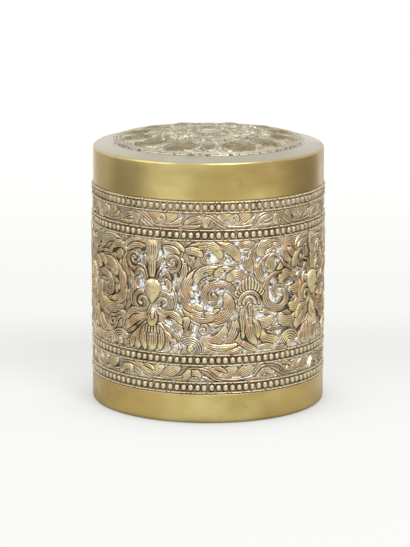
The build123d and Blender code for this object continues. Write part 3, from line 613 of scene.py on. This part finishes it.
def plate_panel():
    """The lid's medallion seen from above: rosette, ribs, lobes and a border of leaf tips."""
    half = PLATE_RADIUS + 2
    panel = Panel(2 * half, 0, 2 * half, PLATE_STEP, seed=11)

    def pen(turn=0.0):
        return Pen(panel, (half, half), turn=turn)

    def spokes(count, shift=0.0):
        return [pen((k + shift) * 360 / count) for k in range(count)]

    def ring(radius, width, **more):
        pen().curl((0, 0), radius, 0, 1.0, width=width, end=width, close=0, lines=0, rise=0.5, **more)

    for radius in (38.6, 37.3, 36.0):
        ring(radius, 0.9, cut=0.3, tint=FILLET_TONE)
    for spoke in spokes(48):
        spoke.leaf(3, 33, 0, 33.8, 0, 34.6, 0, 35.4, 0, lines=1, rise=0.6, base=0.8, tip=1, cut=0.2)
    for bearing, wide in LOBES:
        spoke = pen(270 + bearing + panel.draw.uniform(-1, 1))
        spoke.leaf(3.4, 20.6, 6.4, 25, 6.9, 30, 7.6, 34.6, 8, rise=0.7, lines=2, tint=0)
        spoke.leaf(wide, 31.6, 0.4, 28.4, 0.8, 24, -0.6, 19.6, 0, rise=1.3, lines=9, base=0.85, peak=0.2,
                   root=0, bevel=3.2, crown=0.4, tint=1 if bearing else 0.2)
        for side in (1, -1):
            out = side * (wide / 2 + 0.4)
            spoke.leaf(1.6, 31.6, out, 33.4, 1.1 * out, 34.6, 0.95 * out, 35.2, 0.6 * out, rise=0.7,
                       lines=1, tint=0)
    for spoke in spokes(26, 0.5):
        spoke.leaf(3.4, 19.9, 0, 21.4, 0.6, 23, 0.3, 25, 0, lines=2, rise=0.7, base=0.7, cut=0.2)
    for spoke in spokes(8, 0.5):
        spoke.leaf(5.4, 8, 0, 11, 2.4, 14.4, 1.8, 18.6, 0, rise=0.6, lines=4)
    for spoke in spokes(8):
        spoke.leaf(6.2, 4.4, 0, 8, 1.6, 12.4, 1.4, 17.2, 0, rise=0.75, lines=5)
    for _ in range(140):                # small leaves over the ribs
        radius, angle = panel.draw.uniform(5.5, 23.0), panel.draw.uniform(0, 360)
        bend, length = panel.draw.uniform(-1.0, 1.0), panel.draw.uniform(2.0, 4.0)
        rise = panel.draw.uniform(0.3, 0.6)
        pen(angle).leaf(1.6, radius, 0, radius + 0.4 * length, bend, radius + length, bend, lines=1,
                        rise=rise, root=0.5, cut=0.18)
    ring(4.2, 1.0)
    pen().knob((0, 0), 3.2, rise=0.6)
    return panel


def relief_tones(panel):
    """What the materials read at each cell: recesses fine and broad, leaf or ground, its tint and dirt."""
    h, leafy, soil = panel.height, panel.leafy, panel.soil
    bare = 1 - leafy
    plain = panel.tint < FILLET_TONE
    bead = panel.tint > FILLET_TONE
    narrow = smooth(0.28, 0.50, blur(leafy, 0.4 / panel.dx)) * bare
    narrow = np.maximum(narrow * (0.55 + 0.45 * soil), 0.9 * soil * bare) * plain
    # convex ridges, where the material paints a highlight; on the beads their crest, beyond which it paints
    # shade round the foot
    edge = smooth(0.10, 0.34, h - blur(h, 0.35 / panel.dx)) * leafy
    return {"fine_recess": smooth(0.02, 0.16, blur(h, 0.3 / panel.dx) - h),
            "recess": np.maximum(narrow, panel.dirt * bare), "leafy": leafy, "tint": panel.tint,
            "chased": panel.chased, "soil": soil,
            "edge": np.where(bead, smooth(0.0, 0.42, h - blur(h, 0.9 / panel.dx)), edge)}


# ---- materials

def colour(red, green, blue):
    """An sRGB colour of 0 to 255 as the linear one that a shader takes."""
    parts = [value / 255 for value in (red, green, blue)]
    return (*(v / 12.92 if v <= 0.04045 else ((v + 0.055) / 1.055) ** 2.4 for v in parts), 1)


class Nodes:
    """Short calls for the nodes of a material or a world. An input takes a value or another's output."""

    def __init__(self, owner, clamp=True):
        owner.use_nodes = True
        self.tree = owner.node_tree
        self.clamp = clamp              # holds sums and products between 0 and 1

    @functools.cached_property
    def place(self):
        return self.add("TexCoord", output="Object")

    def feed(self, socket, value):
        if hasattr(value, "links"):
            self.tree.links.new(value, socket)
        elif value is not None:
            socket.default_value = value

    def add(self, kind, *values, output=0, **settings):
        """Output of a new node whose inputs take the values in turn. None leaves an input as it is."""
        node = self.tree.nodes.new("ShaderNode" + kind)
        for name, setting in settings.items():
            setattr(node, name, setting)
        for socket, value in zip(node.inputs, values):
            self.feed(socket, value)
        return node.outputs[output] if node.outputs else None

    def noise(self, scale, detail, stretch=(1, 1, 1), roughness=0.5, offset=(0, 0, 0)):
        place = self.add("Mapping", self.place, offset, None, stretch)
        return self.add("TexNoise", place, None, scale, detail, roughness)

    def attribute(self, name):
        return self.add("Attribute", attribute_name=name, output="Fac")

    def part(self, vector, axis):
        return self.add("SeparateXYZ", vector, output=axis)

    def spread(self, value, low, high, to_low=0.0, to_high=1.0):
        """Value mapped from one range to another and held inside it."""
        return self.add("MapRange", value, low, high, to_low, to_high, interpolation_type="SMOOTHSTEP")

    def math(self, operation, a, b=0.0):
        return self.add("Math", a, b, operation=operation, use_clamp=self.clamp)

    def times(self, a, b):
        return self.math("MULTIPLY", a, b)

    def most(self, a, b):
        return self.math("MAXIMUM", a, b)

    def mix(self, share, a, b):
        """Colour a, or b where share is 1. Each is an output or an sRGB colour."""
        node = self.tree.nodes.new("ShaderNodeMix")
        node.data_type = "RGBA"
        for index, value in ((0, share), (6, a), (7, b)):
            self.feed(node.inputs[index], colour(*value) if isinstance(value, tuple) else value)
        return node.outputs[2]

    def finish(self, tone, rough, bump, depth, metal=1.0):
        """Feeds the Principled shader, with the bump's depth in metres."""
        node = self.tree.nodes.new("ShaderNodeBump")
        self.feed(node.inputs["Distance"], depth)
        self.feed(node.inputs["Height"], bump)
        values = {"Base Color": tone, "Roughness": rough, "Metallic": metal, "Normal": node.outputs[0]}
        for name, value in values.items():
            self.feed(self.tree.nodes["Principled BSDF"].inputs[name], value)


def satin_brass(name, light, deep, stain, painted_side_shade, upward_pale, gloss=0.3):
    """Wiped brass: blotches of tarnish, painted shade that turns the flanks ruddy, brown spots, turning marks
    and a top that pales where it faces up.
    """
    material = bpy.data.materials.new(name)
    s = Nodes(material)
    blotch = s.spread(s.noise(38, 5, offset=(3, 1, 7)), 0.36, 0.66)
    tone = s.mix(blotch, light, deep)
    cloud = s.spread(s.noise(16, 3, stretch=(1, 1, 2.2), offset=(6, 2, 1)), 0.5, 0.68, 0, 0.45)
    tone = s.mix(cloud, tone, stain)
    # painted shade: the flanks off to the left and right take a darker, ruddier tone
    sideways = s.math("ABSOLUTE", s.part(s.place, "X"))
    tone = s.mix(s.spread(sideways, 0.016, 0.044, 0, 0.3), tone, painted_side_shade)
    spots = s.spread(s.noise(95, 6, roughness=0.6, offset=(9, 4, 2)), 0.60, 0.74, 0, 0.55)
    tone = s.mix(spots, tone, stain)
    rings = s.noise(420, 3, stretch=(0.06, 0.06, 4.0))
    tone = s.mix(s.spread(rings, 0.42, 0.62, 0, 0.16), tone, deep)
    # paler where the face points up
    upward = s.part(s.add("NewGeometry", output="Normal"), "Z")
    tone = s.mix(s.spread(upward, 0.3, 0.98, 0, 0.7), tone, upward_pale)
    rough = s.spread(blotch, 0, 1, gloss - 0.05, gloss + 0.09)
    s.finish(tone, rough, s.math("ADD", rings, s.noise(2600, 2)), 0.000006)
    return material


def repousse_brass(name, gold, orange, silver, bead, line, pale, ground, dark, glint_and_wear_tone, gloss=0.3):
    """Chased brass: gold leaf tips, ruddy roots, silvery wear, painted highlights on ridges, pale ground
    partly wiped and partly painted glint, painted shade at the beads' feet, dirt in the recesses.
    """
    material = bpy.data.materials.new(name)
    s = Nodes(material)
    tint, leafy, soil, edge = (s.attribute(key) for key in ("tint", "leafy", "soil", "edge"))
    border = s.spread(tint, 1.42, 1.5)
    # leaves: gold or ruddy, wiped to silver
    leaf = s.mix(s.spread(tint, 0.1, 0.95), gold, orange)
    leaf = s.mix(s.spread(s.noise(60, 5, offset=(4, 2, 9)), 0.42, 0.72, 0, 0.6), leaf, orange)
    wiped = s.spread(s.noise(330, 4, offset=(3, 7, 2), roughness=0.6), 0.44, 0.62, 0, 0.75)
    wiped = s.times(wiped, s.spread(s.most(soil, s.spread(tint, 0.6, 1)), 0, 1, 1, 0.5))
    leaf = s.mix(wiped, leaf, silver)
    # beads, with painted shade round their feet, deeper in the dirtier rows
    crest = s.most(edge, s.spread(tint, 1.6, 1.9, 1, 0))
    rim = s.most(crest, s.spread(soil, 0, 0.4, 0.6, 0.25))
    beads = s.mix(rim, line, s.mix(s.times(wiped, 0.45), bead, glint_and_wear_tone))
    leaf = s.mix(s.spread(tint, 1.15, 1.6), leaf, beads)
    # chased lines, small stains, and rubbed edges lit by a painted highlight along the ridges
    leaf = s.mix(s.spread(s.attribute("chased"), 0.1, 0.8, 0, 0.85), leaf, line)
    leaf = s.mix(s.spread(s.noise(900, 3, offset=(1, 6, 3)), 0.5, 0.72, 0, 0.45), leaf, line)
    # painted highlight along the ridges, in part real rubbed wear; weaker where dirt lies and on fillets and
    # beads
    ridge_glint_and_wear = s.times(edge, s.spread(s.noise(260, 3, offset=(8, 1, 4)), 0.4, 0.6, 0.3, 1))
    ridge_glint_and_wear = s.times(ridge_glint_and_wear, s.spread(soil, 0, 1, 1, 0.4))
    ridge_glint_and_wear = s.times(ridge_glint_and_wear, s.spread(tint, 1.42, 1.5, 1, 0.2))
    leaf = s.mix(ridge_glint_and_wear, leaf, glint_and_wear_tone)
    # ground, pale in places: partly wiped clean, partly a painted glint, fading where dirt lies thick
    wiped_and_glint_ground = s.spread(s.noise(520, 4, offset=(2, 8, 5), roughness=0.6), 0.36, 0.46)
    wiped_and_glint_ground = s.times(wiped_and_glint_ground, s.spread(s.noise(45, 2, offset=(7, 3, 5)), 0.30, 0.48))
    floor = s.mix(s.times(wiped_and_glint_ground, s.spread(soil, 0.15, 0.8, 1, 0.2)), ground, pale)
    tone = s.mix(leafy, s.mix(border, floor, bead), leaf)
    # grime
    caked = s.spread(s.noise(420, 4, offset=(5, 5, 1), roughness=0.6), 0.38, 0.56)
    grime = s.times(s.attribute("recess"), s.most(caked, s.times(soil, 0.95)))
    grime = s.most(grime, s.times(s.attribute("fine_recess"), s.spread(soil, 0, 0.8, 0.72, 0.98)))
    specks = s.spread(s.noise(560, 3, offset=(9, 2, 6)), 0.57, 0.63, 0, 0.85)
    grime = s.most(grime, s.times(specks, s.spread(leafy, 0, 1, 1, 0)))
    rough = s.most(s.spread(leafy, 0, 1, gloss, gloss + 0.08), s.times(grime, 0.6))
    rough = s.most(rough, s.spread(tint, 1.42, 1.5, 0, 0.48))
    rough = s.most(rough, s.spread(soil, 0.3, 1, 0, 0.62))
    metal = s.most(s.spread(leafy, 0, 1, 0.6, 1.0), grime)
    s.finish(s.mix(grime, tone, dark), rough, s.noise(1300, 3), 0.00007, metal)
    return material


# In the chased finishes the near-white ground tone is partly a painted glint and the palest tone a painted
# highlight on ridges; the plain finishes paint shade on their flanks.
materials = {
    "plain_brass": satin_brass(
        "satin_brass", light=(218, 202, 136), deep=(194, 172, 106), stain=(144, 118, 72),
        painted_side_shade=(188, 140, 86), upward_pale=(182, 181, 172)),
    "repousse_brass": repousse_brass(
        "chased_brass", gold=(223, 207, 150), orange=(205, 174, 137), silver=(228, 217, 192),
        bead=(217, 201, 165), line=(108, 84, 54), pale=(255, 253, 250), ground=(184, 170, 136),
        dark=(44, 36, 22), glint_and_wear_tone=(246, 240, 222)),
    "medallion_brass": repousse_brass(
        "medallion_brass", gold=(214, 206, 176), orange=(158, 143, 108), silver=(214, 209, 192),
        bead=(206, 198, 174), line=(104, 88, 62), pale=(222, 216, 198), ground=(160, 150, 126),
        dark=(66, 56, 42), glint_and_wear_tone=(226, 221, 204), gloss=0.4),
    "inner_brass": satin_brass(
        "inner_brass", light=(190, 168, 112), deep=(150, 124, 76), stain=(92, 70, 42),
        painted_side_shade=(150, 118, 74), upward_pale=(176, 160, 120), gloss=0.42),
}


# ---- pieces

def add_piece(name, mesh, body, node, slot):
    """Puts the mesh in the scene: it rides a body, replaces a CAD node and takes its finish from a slot."""
    piece = bpy.data.objects.new(name, mesh)
    bpy.context.scene.collection.objects.link(piece)
    mesh.materials.append(materials[slot])
    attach(piece, body)
    if node:
        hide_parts(node)


def rounded(*corners):
    """Outline through (r, z) corners; a third value rounds that corner by about that much."""
    outline = []
    for k, corner in enumerate(corners):
        here = np.array(corner[:2], float)
        if len(corner) < 3:
            outline.append(here)
            continue
        ends = []
        for other in (corners[k - 1], corners[(k + 1) % len(corners)]):
            away = np.array(other[:2], float) - here
            ends.append(here + away / np.linalg.norm(away) * corner[2])
        outline += list(bezier(ends[0], here, ends[1], steps=6))
    return outline


def turned(name, outline, body, node, slot, steps=LATHE_STEPS):
    """A closed solid of revolution, smooth between sharp edges. The outline keeps its inside on the left."""
    points, rings = [], []
    for r, z in outline:
        if r < 1e-6:
            rings.append([len(points)] * steps)
            points.append((0, 0, z))
            continue
        rings.append(list(range(len(points), len(points) + steps)))
        for k in range(steps):
            angle = 2 * math.pi * k / steps
            points.append((r * math.cos(angle), r * math.sin(angle), z))
    faces = []
    for low, high in zip(rings, rings[1:] + rings[:1]):
        for k in range(steps):
            after = (k + 1) % steps
            face = list(dict.fromkeys([low[k], low[after], high[after], high[k]]))
            if len(face) > 2:
                faces.append(face)
    mesh = bpy.data.meshes.new(name)
    mesh.from_pydata((np.array(points, float) * MM).tolist(), [], faces)
    mesh.update()
    bm = bmesh.new()
    bm.from_mesh(mesh)
    for face in bm.faces:
        face.smooth = True
    for edge in bm.edges:
        edge.smooth = len(edge.link_faces) == 2 and edge.calc_face_angle(0) < SHARP
    bm.to_mesh(mesh)
    bm.free()
    add_piece(name, mesh, body, node, slot)


def skin(name, points, relief, rest, tones, uv, body, node, slot):
    """An embossed piece, smooth over its relief and flat elsewhere, with the relief's tones and a map."""
    mesh = bpy.data.meshes.new(name)
    mesh.from_pydata(points.tolist(), [], relief + rest)
    for key, value in tones.items():
        attribute = mesh.attributes.new(key, "FLOAT", "POINT")
        attribute.data.foreach_set("value", value.astype(np.float32))
    mesh.update()
    mesh.polygons.foreach_set("use_smooth", np.arange(len(mesh.polygons)) < len(relief))
    bm = bmesh.new()
    bm.from_mesh(mesh)
    bm.faces.ensure_lookup_table()
    for face in bm.faces[len(relief):]:
        for edge in face.edges:
            edge.smooth = False
    bm.to_mesh(mesh)
    bm.free()
    corners = np.zeros(len(mesh.loops), np.int32)
    mesh.loops.foreach_get("vertex_index", corners)
    layer = mesh.uv_layers.new(name="OFBake")
    layer.uv.foreach_set("vector", uv[corners].astype(np.float32).ravel())
    add_piece(name, mesh, body, node, slot)


def quads(rows, columns, wrap=False):
    """Corners of the quads of a grid, in order round each."""
    i = np.arange(columns if wrap else columns - 1)
    right = (i + 1) % columns
    a = np.arange(rows - 1)[:, None] * columns
    return np.stack([a + i, a + right, a + columns + right, a + columns + i], -1).reshape(-1, 4)


def wrapped(radius, x, z):
    """Places on the drum for arc lengths from the seam at the back; the middle of the panel faces -Y."""
    angle = (x - AROUND / 2) / DRAWN_RADIUS
    return np.stack([radius * np.sin(angle), -radius * np.cos(angle), z + 0 * angle], -1)


def sleeve_sector(panel, tones, number):
    """One upright strip of the embossed sleeve, as a closed sheet."""
    edges = np.linspace(0, panel.columns, SLEEVE_SECTORS + 1).round().astype(int)
    columns = np.arange(edges[number], edges[number + 1] + 1)
    cells = columns % panel.columns
    x, z = np.meshgrid(columns * panel.dx, panel.y)
    outer = wrapped(GROUND_RADIUS + panel.height[:, cells], x, z).reshape(-1, 3)
    back_x = np.linspace(columns[0], columns[-1], BACK_POINTS) * panel.dx
    inner = np.concatenate([wrapped(SLEEVE_BACK + 0 * back_x, back_x, level) for level in panel.y[[0, -1]]])
    rows, wide = x.shape
    base = rows * wide
    low_back = list(range(base, base + BACK_POINTS))
    high_back = [k + BACK_POINTS for k in low_back]
    bottom, top = list(range(wide)), list(range(base - wide, base))
    left, right = list(range(0, base, wide)), list(range(wide - 1, base, wide))
    rest = [[low_back[k + 1], low_back[k], high_back[k], high_back[k + 1]] for k in range(BACK_POINTS - 1)]
    rest += [low_back + bottom[::-1], top + high_back[::-1], [low_back[0], *left, high_back[0]],
             [high_back[-1], *right[::-1], low_back[-1]]]
    unseen = np.zeros(len(inner))
    tones = {key: np.concatenate([value[:, cells].ravel(), unseen]) for key, value in tones.items()}
    # the relief takes the map, apart from a margin of 12 cells where the unseen back shrinks to a corner
    across = (np.tile(np.arange(wide), rows) + 0.5) / (wide + 12)
    up = (np.repeat(np.arange(rows), wide) + 0.5) / rows
    uv = np.concatenate([np.stack([across, up], 1), np.full((len(inner), 2), 0.999)])
    points = np.concatenate([outer, inner]) * MM
    node = None if number else "repousse_sleeve"
    skin(f"sleeve_sector_{number + 1}", points, quads(rows, wide).tolist(), rest, tones, uv, "box", node,
         "repousse_brass")


def plate_rise(r):
    """The medallion's own dome under its relief, above the lid's top."""
    return np.interp(r, (0, 10, 18.9, 20.6, 25, 30, 33, 36, 38.9, PLATE_RADIUS),
                     (3.45, 3.35, 3.0, 2.5, 1.85, 1.3, 0.95, 0.6, 0.4, 0.25))


def sample(field, columns, rows):
    """A panel's value between its cells."""
    i, j = np.floor(columns).astype(int), np.floor(rows).astype(int)
    u, v = columns - i, rows - j
    low = field[j, i] * (1 - u) + field[j, i + 1] * u
    high = field[j + 1, i] * (1 - u) + field[j + 1, i + 1] * u
    return low * (1 - v) + high * v


def medallion(panel):
    """The embossed plate on the lid, as a disc with a flat back."""
    r = np.linspace(0.5, PLATE_RADIUS - 0.15, PLATE_RINGS - 3)
    r = np.concatenate([[0.3], r, [PLATE_RADIUS, PLATE_RADIUS]])
    angle = 2 * np.pi * np.arange(PLATE_SPOKES) / PLATE_SPOKES
    rr, aa = np.meshgrid(r, angle, indexing="ij")
    x, y = rr * np.cos(aa), rr * np.sin(aa)
    middle = panel.columns * panel.dx / 2
    cells = ((x + middle) / panel.dx, (y + middle) / panel.dy)
    fade = smooth(PLATE_RADIUS, PLATE_RADIUS - 0.6, rr)
    z = LID_TOP + plate_rise(rr) + sample(panel.height, *cells) * fade
    z[-1] = LID_TOP
    points = np.concatenate([np.stack([x, y, z], -1).reshape(-1, 3), [[0, 0, z[0].mean()]]]) * MM
    tones = {key: sample(value, *cells) for key, value in relief_tones(panel).items()}
    tones = {key: np.concatenate([value.ravel(), [value[0].mean()]]) for key, value in tones.items()}
    centre = z.size
    relief = quads(len(r), PLATE_SPOKES, wrap=True)[:, ::-1].tolist()
    relief += [[centre, k, (k + 1) % PLATE_SPOKES] for k in range(PLATE_SPOKES)]
    back = list(range(centre - PLATE_SPOKES, centre))[::-1]
    flat = points[:, :2] / (2.02 * PLATE_RADIUS * MM) + 0.5
    skin("medallion", points, relief, [back], tones, flat, "lid", "lid_medallion", "medallion_brass")


def base_band():
    inner, sheet = DRUM_RADIUS - 4.0, 1.0
    outline = rounded(
        (inner, sheet, 0.2), (inner, 0, 0.3), (BODY_RADIUS, 0, 1.9), (BODY_RADIUS, SLEEVE_FOOT, 0.35),
        (SLEEVE_BACK, SLEEVE_FOOT), (SLEEVE_BACK, sheet))
    turned("base_band_skin", outline, "box", "base_band", "plain_brass")


def lid_cap():
    wall, shoulder, sheet = 15.1, 45.9, 0.8
    rim, inner = SLEEVE_TOP + wall, LID_RADIUS - sheet
    outline = rounded(
        (inner, SLEEVE_TOP, 0.2), (LID_RADIUS, SLEEVE_TOP, 0.35), (LID_RADIUS, rim, 1.1),
        (shoulder, rim + 0.42, 0.5), (PLATE_RADIUS + 0.9, LID_TOP - 0.05, 0.6),
        (PLATE_RADIUS + 0.55, LID_TOP - 0.3), (PLATE_RADIUS, LID_TOP), (0, LID_TOP), (0, LID_TOP - sheet),
        (PLATE_RADIUS, LID_TOP - sheet), (inner, rim - sheet, 0.6))
    turned("lid_skin", outline, "lid", "lid_cap", "plain_brass")


def drum():
    inner = DRUM_RADIUS - 0.9
    outline = rounded((inner, DRUM_FOOT), (DRUM_RADIUS, DRUM_FOOT), (DRUM_RADIUS, DRUM_TOP, 0.4),
                      (inner, DRUM_TOP, 0.4))
    turned("drum_wall", outline, "box", "inner_drum", "inner_brass", INNER_STEPS)


def tray():
    sheet = 0.7
    wall = DRUM_RADIUS - 1.3
    outline = rounded(
        (0, TRAY_FOOT), (wall, TRAY_FOOT, 2.0), (wall, TRAY_TOP - sheet),
        (TRAY_RADIUS, TRAY_TOP - sheet, 0.3), (TRAY_RADIUS, TRAY_TOP, 0.3), (wall - sheet, TRAY_TOP, 0.5),
        (wall - sheet, TRAY_FOOT + sheet, 1.5), (0, TRAY_FOOT + sheet))
    turned("tray_skin", outline, "tray", "tray_pan", "inner_brass", INNER_STEPS)


def knob():
    ball, neck = 2.8, 1.5
    middle = KNOB_TOP - ball
    foot = rounded((0, KNOB_FOOT), (KNOB_RADIUS, KNOB_FOOT, 0.15), (KNOB_RADIUS, KNOB_FOOT + 0.45, 0.2),
                   (neck, KNOB_FOOT + 1.1, 0.4))
    arc = [(ball * math.cos(a), middle + ball * math.sin(a)) for a in np.radians(np.linspace(-58, 84, 22))]
    turned("knob_turned", [*foot, *arc, (0, KNOB_TOP)], "tray", "tray_knob", "inner_brass", KNOB_STEPS)


panel = sleeve_panel()
tones = relief_tones(panel)
for number in range(SLEEVE_SECTORS):
    sleeve_sector(panel, tones, number)
medallion(plate_panel())
base_band()
lid_cap()
drum()
tray()
knob()
for node in ("bottom_plate", "tray_divider_long", "tray_divider_cross"):
    frame["nodes"][node].data.materials.clear()
    frame["nodes"][node].data.materials.append(materials["inner_brass"])


# ---- stage

WHITE = (1, 1, 1, 1)
AIM = (0, 0, 0.05)                      # what the lamps point at
EYE = (-0.0013, -1.2, 0.30559)
LOOK_DOWN = 0.208389                    # the camera's tilt and turn, in radians
LOOK_ASIDE = 0.00218
LENS = 194.61
SENSOR = 36
# Dark sides of the room that the metal sees: bearing from the front, widest and narrowest cosine, depth.
DARK_SIDES = ((-88, 0.80, 0.99, 0.72), (-128, 0.84, 0.99, 0.45), (105, 0.78, 0.95, 0.64))


def darkness(n):
    """Share of dark room that the metal sees beyond the floor at either side."""
    heading = n.add("VectorMath", n.place, operation="NORMALIZE")
    total = 0.0
    for bearing, wide, narrow, depth in DARK_SIDES:
        toward = (math.sin(math.radians(bearing)), -math.cos(math.radians(bearing)), 0)
        side = n.add("VectorMath", heading, toward, operation="DOT_PRODUCT", output="Value")
        total = n.most(total, n.spread(side, wide, narrow, 0, depth))
    away = n.add("VectorMath", n.place, operation="LENGTH", output="Value")
    return n.times(total, n.spread(away, 0.06, 0.22, 0.35, 1))


def backdrop(n):
    """Brightness of the pale floor: whiter into the distance, with a soft grey band behind the object."""
    back = n.part(n.place, "Y")
    off = n.math("ABSOLUTE", n.math("SUBTRACT", back, 0.085))
    return n.math("SUBTRACT", n.spread(back, 0.1, 0.7, 0.99, 1.15), n.spread(off, 0.0, 0.09, 0.09, 0.0))


def floor():
    """A pale floor that shows its own brightness to the camera and to the metal, keeps the shadow, and has a
    painted contact shadow in its glow near the box.
    """
    mesh = bpy.data.meshes.new("floor")
    size = 3.0
    corners = [(-size, -size, 0), (size, -size, 0), (size, size, 0), (-size, size, 0)]
    mesh.from_pydata(corners, [], [(0, 1, 2, 3)])
    ground = bpy.data.objects.new("floor", mesh)
    bpy.context.scene.collection.objects.link(ground)
    material = bpy.data.materials.new("pale_floor")
    n = Nodes(material, clamp=False)
    n.tree.nodes.clear()
    rays = n.tree.nodes.new("ShaderNodeLightPath").outputs
    camera_ray, glossy_ray = rays["Is Camera Ray"], rays["Is Glossy Ray"]
    lit = n.times(backdrop(n), n.math("SUBTRACT", 1.0, n.times(darkness(n), glossy_ray)))
    # painted contact shadow: the floor's glow dims where ambient occlusion finds the box close by, more in
    # reflections than to the camera
    open_sky = n.add("AmbientOcclusion", None, 0.05, samples=8, output="AO")
    unseen = n.math("SUBTRACT", 1.0, n.times(camera_ray, 0.6))
    contact_shadow = n.times(n.spread(open_sky, 0.5, 0.7, 0.6, 0), unseen)
    soft = n.spread(open_sky, 0.5, 1.0, 0.07, 0)
    open_floor = n.math("SUBTRACT", n.math("SUBTRACT", 1.0, contact_shadow), soft)
    matt = n.add("BsdfDiffuse", (0.80, 0.80, 0.78, 1))
    glow = n.add("Emission", (1, 1, 0.985, 1), n.times(lit, open_floor))
    seen = n.math("ADD", n.times(camera_ray, 0.8), n.times(glossy_ray, 0.85))
    n.add("OutputMaterial", n.add("MixShader", seen, matt, glow))
    mesh.materials.append(material)


def world():
    """A soft even light, which shows as white to the camera and in glass and metal."""
    studio = bpy.data.worlds.new("studio")
    bpy.context.scene.world = studio
    n = Nodes(studio, clamp=False)
    n.tree.nodes.clear()
    rays = n.tree.nodes.new("ShaderNodeLightPath").outputs
    seen = n.most(n.most(rays["Is Camera Ray"], rays["Is Transmission Ray"]), rays["Is Glossy Ray"])
    light, white = n.add("Background", WHITE, 0.5), n.add("Background", WHITE, 1.0)
    n.add("OutputWorld", n.add("MixShader", seen, light, white))


def lamp(name, place, size, power):
    data = bpy.data.lights.new(name, "AREA")
    data.shape = "DISK"
    data.size = size
    data.energy = power
    light = bpy.data.objects.new(name, data)
    bpy.context.scene.collection.objects.link(light)
    light.location = place
    light.rotation_euler = (Vector(AIM) - Vector(place)).to_track_quat("-Z", "Y").to_euler()


def camera():
    data = bpy.data.cameras.new("camera")
    data.lens = LENS
    data.sensor_width = SENSOR
    eye = bpy.data.objects.new("camera", data)
    bpy.context.scene.collection.objects.link(eye)
    eye.location = EYE
    eye.rotation_mode = "ZYX"
    eye.rotation_euler = (math.radians(90) - LOOK_DOWN, 0, LOOK_ASIDE)
    bpy.context.scene.camera = eye


floor()
world()
lamp("key", (0.35, -0.7, 1.1), 0.5, 9)
lamp("fill", (-0.9, -0.5, 0.7), 0.8, 2.5)
camera()
bpy.context.scene.view_settings.view_transform = "Standard"
